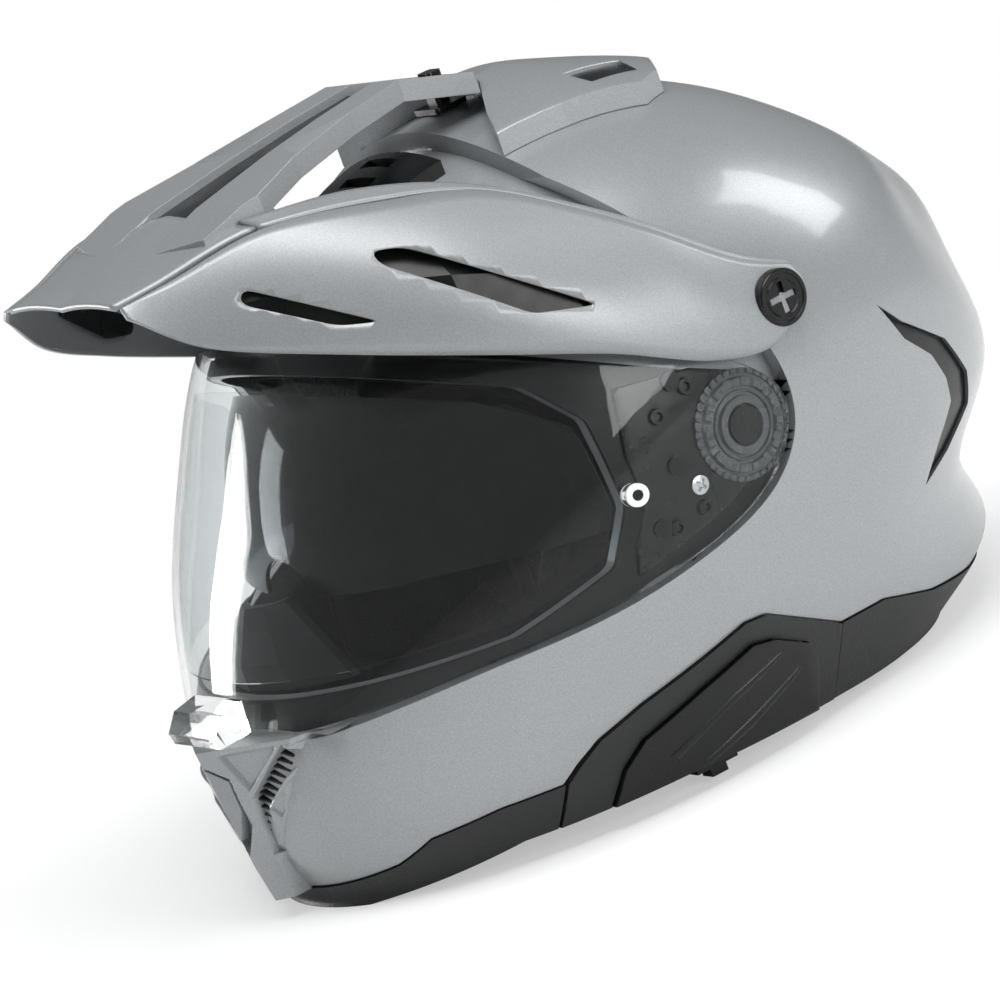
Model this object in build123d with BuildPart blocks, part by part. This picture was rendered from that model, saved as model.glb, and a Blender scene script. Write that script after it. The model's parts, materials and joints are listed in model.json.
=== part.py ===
"""Dual sport helmet, standing on its lower rim.

Millimetres. +Z is up, the helmet faces -Y and the wearer's left is +X. X = 0 is the plane of symmetry
and Z = 0 is the surface that the rim stands on.

The outside of the shell is a loft through horizontal sections. Each layer of the helmet is the same
form moved inwards by its depth below the paint, or outwards by a negative depth, so what lies on,
in or under the shell follows it. Side and top outlines cut the pieces out of these layers.
"""

from build123d import *
import os
from math import copysign, cos, exp, hypot, pi, sin

os.makedirs("parts", exist_ok=True)

# Overall size of the shell
shell_height = 236.0
front_reach = 164.0
rear_reach = 174.0
half_width = 124.0

# Overall size of the space for the head
cavity_height = 205.0
cavity_front = 132.0
cavity_rear = 134.0
cavity_half_width = 90.0

# Depths and walls, square to the surface
shell_wall = 4.0
foam_gap = 0.4
pocket_depth = 7.0
visor_wall = 2.2
lens_wall = 0.8
gasket_top_depth = 5.6
gasket_width = 6.0
seat_gap = 0.3
close_gap = 0.1
plate_wall = 2.0
trim_proud = 0.8
trim_sink = 2.0
frame_proud = 1.4
cover_proud = 3.4
cover_gap = 0.5
cover_wall = 2.0
intercom_depth = 20.0
ridge_half_width = 50.0
pad_wall = 9.0
roll_wall = 15.0
housing_proud = 8.0
vent_wall = 2.4
vent_sink = 1.5
curtain_wall = 1.5
curtain_z = 12.0
deflector_wall = 3.0

# Visor axis and mechanism
pivot_y = 3.0
pivot_z = 116.5
hub_radius = 6.5
hub_length = 10.0
running_gap = 0.08
gear_radius = 19.5
gear_lift = 0.8
tooth_count = 36
tooth_depth = 1.2
plate_screw_radius = 3.4
plate_screw_head = 1.2
plate_screw_shank = 1.7
pin_radius = 4.0
pin_proud = 0.6
tab_half_width = 16.0

# Sun visor: part of a sphere, so that it turns past its own slot
sun_radius = 109.0
sun_wall = 1.8
sun_axis_y = -10.0
sun_axis_z = 104.0
sun_slot_gap = 1.7
sun_pin_radius = 4.0
sun_pin_length = 2.7
bracket_radius = 9.0
bracket_gap = 1.4
nose_radius = 16.0
lever_length = 18.0
lever_width = 6.0
lever_height = 3.0
lever_y = -36.0
lever_tab_length = 7.0
lever_tab_height = 3.0

# Peak
peak_wall = 1.9
insert_wall = 1.0
slot_lap = 3.0
strut_height = 8.0
channel_sink = 3.0
channel_wall = 1.5
screw_y = 30.0
screw_z = 152.0
screw_radius = 10.0
screw_shank_radius = 5.0
screw_length = 16.0
screw_head = 3.0
screw_sink = 1.6
screw_slot_width = 2.4
screw_slot_length = 11.0
boss_radius = 8.5

# Crown and chin vents
slider_width = 16.0
slider_length = 14.0
slider_wall = 2.0
slider_tab_width = 8.0
slider_tab_length = 6.0
slider_tab_height = 14.0
slider_y = 6.0
grille_gap = 5.0
grille_pitch = 11.0
grille_slots = 4
chin_travel = 5.0

# Chin strap
strap_width = 22.0
strap_wall = 2.0
strap_y = 31.0
ring_wire = 1.5
ring_width = 30.0
ring_length = 22.0
ring_pitch = 3.6
anchor_radius = 6.0
anchor_head = 2.0
anchor_shank = 3.0
anchor_z = 46.0

# Small sizes
corner_radius = 6.0
overrun = 40.0
section_points = 24

# Shares of height, front reach, rear reach and half width for each section of the shell, then the share
# of front reach at which the section is widest, and the powers of its front and rear curves
shell_section_shares = [
    (0.000, 0.933, 0.672, 0.758, -0.079, 2.00, 2.50),
    (0.076, 0.976, 0.828, 0.831, -0.067, 2.00, 2.50),
    (0.136, 1.000, 0.851, 0.871, -0.055, 2.00, 2.50),
    (0.212, 1.000, 0.822, 0.919, -0.043, 2.00, 2.40),
    (0.339, 0.963, 0.965, 0.976, -0.018, 2.05, 2.35),
    (0.466, 0.896, 0.965, 1.000, 0.018, 2.10, 2.30),
    (0.593, 0.799, 0.908, 0.992, 0.049, 2.10, 2.20),
    (0.720, 0.695, 0.839, 0.935, 0.067, 2.10, 2.15),
    (0.818, 0.591, 0.701, 0.815, 0.079, 2.05, 2.10),
    (0.886, 0.457, 0.569, 0.653, 0.091, 2.05, 2.10),
    (0.945, 0.299, 0.402, 0.435, 0.104, 2.00, 2.05),
    (0.979, 0.146, 0.270, 0.250, 0.110, 2.00, 2.00),
    (1.000, 0.000, 0.167, 0.065, 0.110, 2.00, 2.00),
]
# Rise of the ridge on the back at each section, as a share of rear reach
ridge_shares = [0, 0, 0, 0, 0, 0.040, 0.091, 0.008, 0, 0, 0, 0, 0]
# The same sections for the space for the head, in shares of the cavity's sizes
cavity_section_shares = [
    (0.00, 0.91, 0.64, 0.84, 0.00, 2.0, 2.2),
    (0.20, 0.98, 0.75, 0.93, 0.00, 2.0, 2.2),
    (0.44, 1.00, 0.93, 1.00, 0.03, 2.0, 2.2),
    (0.64, 0.92, 0.99, 1.00, 0.06, 2.0, 2.2),
    (0.80, 0.74, 0.90, 0.91, 0.08, 2.0, 2.1),
    (0.92, 0.53, 0.73, 0.73, 0.09, 2.0, 2.0),
    (0.98, 0.30, 0.52, 0.46, 0.10, 2.0, 2.0),
    (1.00, 0.05, 0.27, 0.11, 0.10, 2.0, 2.0),
]

# Side outlines: shares of front reach (minus) or rear reach (plus), and of shell height
rim_shares = [
    (-1.4, 0.0), (-0.896, 0.0), (-0.652, 0.038), (-0.305, 0.038), (0.109, 0.025),
    (0.345, 0.015), (0.592, 0.0), (1.32, 0.0), (1.32, -0.17), (-1.4, -0.17),
]
pocket_curve_shares = [
    (-0.907, 0.283), (-0.768, 0.302), (-0.626, 0.314), (-0.512, 0.318), (-0.335, 0.327),
    (-0.189, 0.343), (-0.067, 0.362), (0.049, 0.398), (0.121, 0.458), (0.138, 0.513),
    (0.126, 0.581), (0.080, 0.678), (0.017, 0.797), (-0.049, 0.903),
]
pocket_front_shares = [(-0.085, 1.11), (-1.4, 1.11), (-1.4, 0.254)]
visor_curve_shares = [
    (-0.907, 0.294), (-0.768, 0.311), (-0.626, 0.323), (-0.512, 0.327), (-0.335, 0.337),
    (-0.189, 0.353), (-0.067, 0.373), (0.037, 0.407), (0.103, 0.460), (0.119, 0.508),
    (0.086, 0.553), (0.029, 0.590),
]
visor_front_shares = [(-0.183, 0.644), (-0.427, 0.729), (-0.762, 0.860), (-1.4, 1.081), (-1.4, 0.258)]
eye_port_shares = [
    (-1.4, 0.326), (-0.561, 0.339), (-0.348, 0.381), (-0.287, 0.458),
    (-0.293, 0.593), (-0.366, 0.665), (-0.774, 0.818), (-1.4, 0.996),
]
lens_shares = [
    (-1.4, 0.364), (-0.561, 0.364), (-0.378, 0.403), (-0.323, 0.466),
    (-0.329, 0.581), (-0.402, 0.644), (-0.683, 0.754), (-1.4, 0.96),
]
base_plate_shares = [
    (-0.220, 0.619), (-0.305, 0.356), (-0.189, 0.373), (-0.067, 0.394), (0.023, 0.424),
    (0.086, 0.466), (0.103, 0.508), (0.080, 0.551), (0.029, 0.576), (-0.049, 0.602),
]
plate_screw_shares = [(-0.104, 0.598), (-0.159, 0.483), (-0.232, 0.407)]
lens_pin_shares = (-0.276, 0.473)
front_trim_shares = [
    (-1.4, -0.085), (-1.4, 0.030), (-0.963, 0.030), (-0.860, 0.059), (-0.811, 0.089),
    (-0.689, 0.102), (-0.564, 0.102), (-0.595, 0.021), (-0.595, -0.085),
]
frame_shares = [
    (-0.559, 0.102), (-0.528, 0.123), (-0.482, 0.148), (-0.382, 0.174), (-0.235, 0.199),
    (-0.116, 0.220), (-0.061, 0.216), (0.135, 0.136), (0.086, 0.013), (0.086, -0.085),
    (-0.590, -0.085), (-0.590, 0.021),
]
cover_shares = [
    (-0.482, -0.085), (-0.476, 0.042), (-0.445, 0.089), (-0.396, 0.121), (-0.250, 0.156),
    (-0.113, 0.184), (-0.055, 0.175), (0.034, 0.140), (0.052, 0.110), (0.040, 0.042), (0.034, -0.085),
]
intercom_shares = [
    (-0.430, 0.065), (-0.380, 0.100), (-0.240, 0.135), (-0.110, 0.160), (-0.060, 0.152),
    (0.020, 0.120), (0.025, 0.065),
]
rear_trim_shares = [
    (0.140, 0.136), (0.264, 0.131), (0.420, 0.093), (0.603, 0.068), (0.805, 0.059),
    (1.32, 0.059), (1.32, -0.085), (0.091, -0.085), (0.091, 0.013),
]
trim_zone_shares = [
    (-1.4, -0.085), (-1.4, 0.032), (-0.963, 0.032), (-0.860, 0.061), (-0.811, 0.091),
    (-0.689, 0.104), (-0.566, 0.104), (-0.532, 0.127), (-0.484, 0.151), (-0.382, 0.177),
    (-0.235, 0.202), (-0.116, 0.223), (-0.058, 0.219), (0.138, 0.139), (0.264, 0.134),
    (0.420, 0.096), (0.603, 0.071), (0.805, 0.062), (1.32, 0.062), (1.32, -0.085),
]
rear_vent_shares = [
    (0.439, 0.551), (0.494, 0.508), (0.621, 0.441), (0.672, 0.373), (0.661, 0.322),
    (0.557, 0.280), (0.453, 0.254), (0.517, 0.308), (0.580, 0.352), (0.580, 0.390),
    (0.552, 0.436), (0.483, 0.483),
]
# Hollow under the ridge's tail
tail_shares = [
    (1.080, 0.600), (1.030, 0.585), (0.985, 0.551), (0.952, 0.517), (0.966, 0.480), (0.990, 0.440),
    (1.080, 0.400), (1.320, 0.400), (1.320, 0.600),
]
crown_pad_shares = [
    (-0.561, 0.729), (-0.366, 0.678), (-0.280, 0.593), (-0.183, 0.500), (0.345, 0.424),
    (0.747, 0.390), (0.862, 1.102), (-0.793, 1.102),
]
cheek_shares = [
    (-0.402, 0.127), (-0.427, 0.297), (-0.378, 0.390), (-0.280, 0.455), (-0.122, 0.470),
    (0.000, 0.415), (0.052, 0.314), (0.063, 0.144), (0.000, 0.080), (-0.280, 0.080),
]
# Sections of a cheek pad across the helmet: place in shares of the cavity's half width, size of the outline
cheek_section_shares = [(0.62, 0.66), (0.67, 0.86), (0.75, 0.97), (0.87, 1.00), (1.06, 0.99)]
neck_roll_shares = [(0.29, 0.02), (0.29, 0.13), (0.50, 0.15), (1.1, 0.15), (1.1, 0.02)]
sun_visor_shares = [
    (-1.0, 0.425), (-0.60, 0.440), (-0.30, 0.425), (-0.05, 0.395), (0.03, 0.405),
    (0.03, 0.475), (-0.20, 0.530), (-0.42, 0.660), (-1.0, 0.860),
]
sun_sweep_shares = [
    (-1.0, 0.410), (-0.60, 0.425), (-0.30, 0.408), (-0.06, 0.358), (0.05, 0.362),
    (0.10, 0.440), (0.09, 0.600), (0.03, 0.700), (0.03, 1.05), (-1.0, 1.05),
]
tab_shares = [(-0.976, 0.302), (-1.055, 0.300), (-1.061, 0.318), (-1.030, 0.345), (-0.970, 0.352)]
# Slots in the peak's wings
upper_slot_shares = [
    (-0.549, 0.928), (-0.488, 0.917), (-0.207, 0.746), (-0.299, 0.763), (-0.341, 0.771), (-0.549, 0.907),
]
lower_slot_shares = [(-0.787, 0.941), (-0.598, 0.835), (-0.671, 0.850), (-0.805, 0.922)]

# Top outlines of one side: shares of half width, then of front or rear reach
crown_housing_shares = [
    (0.0, 0.115), (0.137, 0.080), (0.323, -0.012), (0.427, -0.055), (0.452, 0.103),
    (0.468, 0.293), (0.387, 0.379), (0.202, 0.460), (0.0, 0.483),
]
exhaust_shares = [(0.300, 0.200), (0.400, 0.215), (0.375, 0.340), (0.250, 0.365)]
crown_grille_shares = [(0.0, -0.40), (0.16, -0.38), (0.22, -0.20), (0.24, -0.12), (0.0, -0.12)]
strut_shares = [
    (0.125, -0.82), (0.355, -0.77), (0.370, -0.62), (0.275, -0.47), (0.215, -0.28), (0.190, -0.13),
    (0.205, 0.078), (0.048, 0.098), (0.060, -0.15), (0.085, -0.42), (0.120, -0.68),
]
channel_shares = [(0.0, -0.79), (0.15, -0.79), (0.15, -0.60), (0.12, -0.15), (0.0, -0.15)]
# Side line of the struts' upper face
strut_top_shares = [
    (-0.84, 0.998), (-0.72, 1.022), (-0.665, 1.034), (-0.457, 1.059), (-0.293, 1.075), (-0.134, 1.087), (0.10, 1.040),
]

# Sections of the peak: share of front or rear reach, height share of the middle, then the shares of half
# width and shell height of the crease, of the side's middle and of the lower edge
peak_front_shares = [
    (-0.994, 0.975, (0.331, 0.972), (0.343, 0.966), (0.355, 0.958)),
    (-0.890, 0.994, (0.379, 0.981), (0.430, 0.932), (0.456, 0.881)),
    (-0.683, 1.030, (0.492, 1.004), (0.610, 0.915), (0.650, 0.810)),
]
# Sections of a wing: the inner edge, the crease, the side's middle and the lower edge
wing_shares = [
    (-0.683, (0.371, 1.017), (0.492, 1.004), (0.610, 0.915), (0.650, 0.810)),
    (-0.439, (0.460, 0.996), (0.581, 0.975), (0.798, 0.864), (0.847, 0.737)),
    (-0.226, (0.597, 0.941), (0.661, 0.930), (0.891, 0.808), (0.963, 0.676)),
    (-0.024, (0.839, 0.831), (0.871, 0.818), (0.984, 0.720), (1.016, 0.606)),
    (0.126, (0.952, 0.729), (0.968, 0.720), (1.024, 0.648), (1.032, 0.587)),
    (0.236, (0.980, 0.682), (0.996, 0.678), (1.020, 0.661), (1.028, 0.644)),
]

# Sections of the chin vent housing: height share, half width at the back, shoulder and ridge, each as the
# share of half width and of front reach
chin_housing_shares = [
    (0.034, (0.075, -0.85), (0.050, -0.985), (0.0, -1.012)),
    (0.093, (0.115, -0.85), (0.080, -0.990), (0.0, -1.030)),
    (0.205, (0.320, -0.80), (0.210, -0.985), (0.0, -1.052)),
    (0.292, (0.435, -0.80), (0.290, -0.960), (0.0, -1.067)),
]
# Front outlines: shares of half width and of shell height
chin_slot_shares = [(0.150, 0.255), (0.230, 0.262), (0.110, 0.110), (0.080, 0.125)]
slider_pad_shares = [(0.0, 0.262), (0.055, 0.240), (0.050, 0.190), (0.0, 0.140)]
# Sections of the deflector: height share, then edge, bend and ridge as for the chin vent
deflector_shares = [
    (0.310, (0.39, -0.785), (0.21, -0.862), (0.0, -0.893)),
    (0.375, (0.28, -0.790), (0.15, -0.860), (0.0, -0.890)),
    (0.450, (0.10, -0.780), (0.06, -0.815), (0.0, -0.835)),
]
# Share of half width at which a wing carries its screw, share of its reach that the curtain covers, and the
# line of a strap in shares of the cavity's half width and height
wing_screw_share = 1.024
curtain_share = 0.41
strap_shares = [(0.822, 0.290), (0.822, 0.176), (0.770, 0.093), (0.689, 0.034), (0.230, 0.030)]

shell_size = (shell_height, front_reach, rear_reach, half_width)
cavity_size = (cavity_height, cavity_front, cavity_rear, cavity_half_width)
side_reach = half_width + overrun
floor_depth = pocket_depth + shell_wall


def reach_spot(share):
    """Place along Y of a share of the front or rear reach."""
    return share * (front_reach if share < 0 else rear_reach)


def side_spot(share):
    """Place (y, z) of a pair of shares in a side outline."""
    return (reach_spot(share[0]), share[1] * shell_height)


def front_spot(share):
    """Place (x, z) of a pair of shares in a front outline."""
    return (share[0] * half_width, share[1] * shell_height)


def top_spot(share):
    """Place (x, y) of a pair of shares in a top outline."""
    return (share[0] * half_width, reach_spot(share[1]))


def station(y_share):
    """Upright plane across the helmet."""
    return Plane.XZ.offset(-reach_spot(y_share))


def moved_line(points, distance):
    """Line that runs to the right of a line of points, at a distance from it."""
    moved = []
    for place, (x, z) in enumerate(points):
        ends = [points[max(place - 1, 0)], (x, z), points[min(place + 1, len(points) - 1)]]
        runs = [(b[0] - a[0], b[1] - a[1]) for a, b in zip(ends, ends[1:]) if a != b]
        sides = [(run[1] / hypot(*run), -run[0] / hypot(*run)) for run in runs]
        first, last = sides[0], sides[-1]
        stretch = distance / (1 + first[0] * last[0] + first[1] * last[1])
        moved.append((x + stretch * (first[0] + last[0]), z + stretch * (first[1] + last[1])))
    return moved


def section_rows(size, table, depth):
    """Height, front, rear, half width, widest place and powers of each section, moved inwards by depth."""
    height, front, rear, width = size
    rows = [(a * height, b * front, c * rear, d * width, e * front, p, q) for a, b, c, d, e, p, q in table]
    moved = []
    for place, row in enumerate(rows):
        low = rows[max(place - 1, 0)]
        high = rows[min(place + 1, len(rows) - 1)]
        slopes = [(high[k] - low[k]) / (high[0] - low[0]) for k in (1, 2, 3)]
        lean = [-slope / hypot(1, slope) for slope in slopes]
        drop = depth * max(lean[2], 0)
        reach = [row[k + 1] - (depth - drop * lean[k]) * hypot(1, slopes[k]) for k in range(3)]
        moved.append((row[0] - drop, *reach, *row[4:]))
    return [(-overrun, *moved[0][1:]), *moved]


def section_curve(row, rise=0.0):
    """Points round one section: two superellipses that meet where it is widest, and the ridge's rise."""
    _, front, rear, width, widest, front_power, rear_power = row
    points = []
    for step in range(section_points):
        turn = 2 * pi * step / section_points
        side, along = sin(turn), cos(turn)
        power = rear_power if along > 0 else front_power
        reach = rear - widest if along > 0 else front + widest
        x = width * copysign(abs(side) ** (2 / power), side)
        y = widest + reach * copysign(abs(along) ** (2 / power), along)
        if along > 0:
            y += rise * exp(-((x / ridge_half_width) ** 4))
        points.append((x, y))
    return points


def half_width_at(y, z, depth):
    """Half width of the shell's layer at a depth, at a place in the side view."""
    rows = section_rows(shell_size, shell_section_shares, depth)
    for low, high in zip(rows, rows[1:]):
        if low[0] <= z <= high[0]:
            share = (z - low[0]) / (high[0] - low[0])
            _, front, rear, width, widest, p, q = [a + share * (b - a) for a, b in zip(low, high)]
            reach, power = (front + widest, p) if y < widest else (rear - widest, q)
            return width * max(1 - abs((y - widest) / reach) ** power, 0) ** (1 / power)
    return 0


even_steps = [step / section_points for step in range(section_points + 1)]
made_layers = {}


def layer(depth, size=shell_size, table=None, rises=()):
    """Solid form of the shell, or of another table of sections, with its surface moved in by depth."""
    key = (depth, size, rises)
    if key not in made_layers:
        rows = section_rows(size, table or shell_section_shares, depth)
        with BuildPart() as form:
            for row, rise in zip(rows, rises or [0] * len(rows)):
                with BuildSketch(Plane.XY.offset(row[0])):
                    with BuildLine():
                        line = section_curve(row, rise)
                        add(Edge.make_spline(line, periodic=True, parameters=even_steps))
                    make_face()
            loft()
        made_layers[key] = form.part
    return made_layers[key]


def cavity(depth):
    """Solid form of the space for the head, moved in by depth."""
    return layer(depth, cavity_size, cavity_section_shares)


def side_tool(shares, rounding=0.0, grow=0.0):
    """Side outline with straight runs, drawn across the whole helmet."""
    with BuildPart() as tool:
        with BuildSketch(Plane.YZ):
            with BuildLine():
                if rounding > 0:
                    FilletPolyline(*[side_spot(share) for share in shares], radius=rounding, close=True)
                else:
                    Polyline(*[side_spot(share) for share in shares], close=True)
            make_face()
            if grow:
                offset(amount=grow)
        extrude(amount=side_reach, both=True)
    return tool.part


def curve_tool(curve_shares, front_shares, grow=0.0):
    """Side outline with one long curve, closed by straight runs in front, drawn across the helmet."""
    ring = [front_shares[-1], *curve_shares, *front_shares, curve_shares[0]]
    spots = moved_line([side_spot(share) for share in ring], grow)[1:-1]
    curve, front = spots[:len(curve_shares)], spots[len(curve_shares):]
    with BuildPart() as tool:
        with BuildSketch(Plane.YZ):
            with BuildLine():
                Spline(*curve)
                Polyline(curve[-1], *front, curve[0])
            make_face()
        extrude(amount=side_reach, both=True)
    return tool.part


def top_tool(shares, grow=0.0):
    """Top outline of one side, with its mirror image, drawn from mid height up."""
    with BuildPart() as tool:
        with BuildSketch(Plane.XY.offset(pivot_z)):
            with BuildLine():
                Polyline(*[top_spot(share) for share in shares], close=True)
            make_face()
            mirror(about=Plane.YZ)
            if grow:
                offset(amount=grow)
        extrude(amount=shell_height)
    return tool.part


def front_tool(shares, start, grow=0.0):
    """Front outline of one side, with its mirror image, drawn forwards from the place start along Y."""
    with BuildPart() as tool:
        with BuildSketch(Plane.XZ.offset(-start)):
            with BuildLine():
                Polyline(*[front_spot(share) for share in shares], close=True)
            make_face()
            mirror(about=Plane.YZ)
            if grow:
                offset(amount=grow)
        extrude(amount=front_reach)
    return tool.part


def band(outer_depth, inner_depth, tool):
    """What a tool cuts out between two layers of the shell."""
    with BuildPart() as piece:
        add(tool)
        add(layer(outer_depth), mode=Mode.INTERSECT)
        add(layer(inner_depth), mode=Mode.SUBTRACT)
    return piece.part


def across(y, z, radius, near, far):
    """Round bar along X on the left side, from near to far, and its mirror image."""
    with BuildPart() as bars:
        with BuildSketch(Plane.YZ.offset(near)):
            with Locations((y, z)):
                Circle(radius)
        extrude(amount=far - near)
        mirror(about=Plane.YZ)
    return bars.part


def round_tool(shares, radius):
    """Round bars along X through the whole helmet, at places of the side view."""
    with BuildPart() as bars:
        with BuildSketch(Plane.YZ):
            with Locations(*[side_spot(share) for share in shares]):
                Circle(radius)
        extrude(amount=side_reach, both=True)
    return bars.part


def export_pair(part, name):
    """Write the left and the right half of a mirrored pair as two sub-parts."""
    for side, keep in (("left", Keep.TOP), ("right", Keep.BOTTOM)):
        with BuildPart() as one_side:
            add(part)
            split(bisect_by=Plane.YZ, keep=keep)
        one_side.part.label = f"{name}_{side}"
        export_step(one_side.part, f"parts/{name}_{side}.step")


# Tools that several pieces share
rim_tool = side_tool(rim_shares)
eye_port = side_tool(eye_port_shares, rounding=corner_radius)
rear_vent_zone = side_tool(rear_vent_shares)
screw_x = half_width_at(screw_y, screw_z, 0)
pivot_x = half_width_at(pivot_y, pivot_z, 0)
bracket_x = sun_radius + bracket_gap
plate_top_depth = pocket_depth - close_gap - plate_wall
screw_holes = across(screw_y, screw_z, screw_shank_radius + running_gap, screw_x - screw_length, side_reach)
hub_holes = across(pivot_y, pivot_z, hub_radius + running_gap, pivot_x - 2 * hub_length, side_reach)
plate_holes = round_tool(plate_screw_shares, plate_screw_shank + close_gap)
anchor_holes = across(strap_y, anchor_z, anchor_shank + close_gap, cavity_half_width / 2, side_reach)

# Sunk zone of the shell for the visor, seen from outside and from inside
with BuildPart() as pocket:
    add(curve_tool(pocket_curve_shares, pocket_front_shares))
    add(layer(pocket_depth), mode=Mode.SUBTRACT)
with BuildPart() as pocket_back:
    add(curve_tool(pocket_curve_shares, pocket_front_shares, grow=shell_wall))
    add(layer(floor_depth), mode=Mode.SUBTRACT)
with BuildPart() as shell_space:
    add(layer(shell_wall))
    add(pocket_back.part, mode=Mode.SUBTRACT)

# Other zones that the shell loses or gains
with BuildPart() as trim_seat:
    add(side_tool(trim_zone_shares))
    add(layer(trim_sink), mode=Mode.SUBTRACT)
with BuildPart() as intercom_recess:
    add(side_tool(intercom_shares))
    add(layer(intercom_depth), mode=Mode.SUBTRACT)

# Outer shell, with the ridge that ends in a tail above the hollow of its back
ridge_rises = (0, *[share * rear_reach for share in ridge_shares])
with BuildPart() as outer_shell:
    add(layer(0.0, rises=ridge_rises))
    add(side_tool(tail_shares), mode=Mode.SUBTRACT)
    for zone in (pocket.part, shell_space.part, trim_seat.part, eye_port, rim_tool, rear_vent_zone):
        add(zone, mode=Mode.SUBTRACT)
    for zone in (intercom_recess.part, screw_holes, hub_holes, plate_holes):
        add(zone, mode=Mode.SUBTRACT)
outer_shell.part.label = "outer_shell"
export_step(outer_shell.part, "parts/outer_shell.step")

# Slot in the foam that the sun visor swings into
with BuildPart() as sun_slot:
    add(side_tool(sun_sweep_shares))
    with Locations((0, sun_axis_y, sun_axis_z)):
        Sphere(sun_radius - sun_wall - sun_slot_gap, mode=Mode.SUBTRACT)
with BuildPart() as foam_pocket:
    add(curve_tool(pocket_curve_shares, pocket_front_shares, grow=shell_wall + foam_gap))
    add(layer(floor_depth + foam_gap), mode=Mode.SUBTRACT)

# Foam liner
with BuildPart() as eps_liner:
    add(layer(shell_wall + foam_gap))
    for zone in (foam_pocket.part, cavity(0.0), eye_port, rim_tool, sun_slot.part):
        add(zone, mode=Mode.SUBTRACT)
    for zone in (intercom_recess.part, screw_holes, hub_holes, anchor_holes):
        add(zone, mode=Mode.SUBTRACT)
eps_liner.part.label = "eps_liner"
export_step(eps_liner.part, "parts/eps_liner.step")

# Crown pad
with BuildPart() as crown_pad:
    add(side_tool(crown_pad_shares))
    add(cavity(seat_gap), mode=Mode.INTERSECT)
    add(cavity(seat_gap + pad_wall), mode=Mode.SUBTRACT)
    add(sun_slot.part, mode=Mode.SUBTRACT)
crown_pad.part.label = "crown_pad"
export_step(crown_pad.part, "parts/crown_pad.step")

# Cheek pads: an outline that narrows towards the face, so that the pad has a crown
cheek_spots = [side_spot(share) for share in cheek_shares]
cheek_y = sum(y for y, _ in cheek_spots) / len(cheek_spots)
cheek_z = sum(z for _, z in cheek_spots) / len(cheek_spots)
with BuildPart() as cheek_pads:
    for place_share, size_share in cheek_section_shares:
        with BuildSketch(Plane.YZ.offset(place_share * cavity_half_width)):
            with BuildLine():
                Spline(
                    *[
                        (cheek_y + size_share * (y - cheek_y), cheek_z + size_share * (z - cheek_z))
                        for y, z in cheek_spots
                    ],
                    periodic=True,
                )
            make_face()
    loft()
    mirror(about=Plane.YZ)
    add(cavity(seat_gap), mode=Mode.INTERSECT)
export_pair(cheek_pads.part, "cheek_pad")

# Neck roll
with BuildPart() as neck_roll:
    add(side_tool(neck_roll_shares))
    add(cavity(seat_gap), mode=Mode.INTERSECT)
    add(cavity(seat_gap + roll_wall), mode=Mode.SUBTRACT)
neck_roll.part.label = "neck_roll"
export_step(neck_roll.part, "parts/neck_roll.step")

# Rubber edge of the eye port
with BuildPart() as eye_port_gasket:
    add(side_tool(eye_port_shares, rounding=corner_radius, grow=gasket_width))
    add(eye_port, mode=Mode.SUBTRACT)
    add(curve_tool(pocket_curve_shares, pocket_front_shares, grow=-seat_gap), mode=Mode.INTERSECT)
    add(layer(gasket_top_depth), mode=Mode.INTERSECT)
    add(layer(pocket_depth - close_gap), mode=Mode.SUBTRACT)
eye_port_gasket.part.label = "eye_port_gasket"
export_step(eye_port_gasket.part, "parts/eye_port_gasket.step")

# Base plates of the visor mechanism, with their screws
with BuildPart() as base_plates:
    add(band(plate_top_depth, pocket_depth - close_gap, side_tool(base_plate_shares)))
    add(side_tool(eye_port_shares, rounding=corner_radius, grow=gasket_width + seat_gap), mode=Mode.SUBTRACT)
    add(hub_holes, mode=Mode.SUBTRACT)
    add(plate_holes, mode=Mode.SUBTRACT)
export_pair(base_plates.part, "visor_base_plate")

head_zone = round_tool(plate_screw_shares, plate_screw_radius)
shank_zone = round_tool(plate_screw_shares, plate_screw_shank)
with BuildPart() as plate_screws:
    add(band(plate_top_depth - plate_screw_head, plate_top_depth, head_zone))
    add(band(plate_top_depth, floor_depth, shank_zone))
export_pair(plate_screws.part, "base_plate_screws")

# Ring gears that turn with the visor, and the hubs that they turn on
gear_seat = half_width_at(pivot_y, pivot_z, plate_top_depth) + gear_lift
with BuildPart() as ring_gears:
    with BuildSketch(Plane.YZ.offset(gear_seat)):
        with Locations((pivot_y, pivot_z)):
            Circle(gear_radius)
            Circle(hub_radius + running_gap, mode=Mode.SUBTRACT)
            with PolarLocations(gear_radius, tooth_count):
                Rectangle(2 * tooth_depth, pi * gear_radius / tooth_count, mode=Mode.SUBTRACT)
    extrude(amount=side_reach - gear_seat)
    mirror(about=Plane.YZ)
    add(layer(visor_wall + close_gap), mode=Mode.INTERSECT)
export_pair(ring_gears.part, "visor_gear")

with BuildPart() as hubs:
    add(across(pivot_y, pivot_z, hub_radius, pivot_x - visor_wall - hub_length, side_reach))
    add(layer(visor_wall + seat_gap), mode=Mode.INTERSECT)
export_pair(hubs.part, "visor_hub")

# Visor, with its inner lens, the pins that hold the lens and the thumb tab
pin_zone = round_tool([lens_pin_shares], pin_radius + close_gap)
with BuildPart() as visor_shield:
    add(band(0.0, visor_wall, curve_tool(visor_curve_shares, visor_front_shares)))
    add(pin_zone, mode=Mode.SUBTRACT)
visor_shield.part.label = "visor_shield"
export_step(visor_shield.part, "parts/visor_shield.step")

lens_top_depth = visor_wall + seat_gap
with BuildPart() as pinlock_lens:
    add(band(lens_top_depth, lens_top_depth + lens_wall, side_tool(lens_shares, rounding=corner_radius)))
    add(pin_zone, mode=Mode.SUBTRACT)
pinlock_lens.part.label = "pinlock_lens"
export_step(pinlock_lens.part, "parts/pinlock_lens.step")

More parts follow.
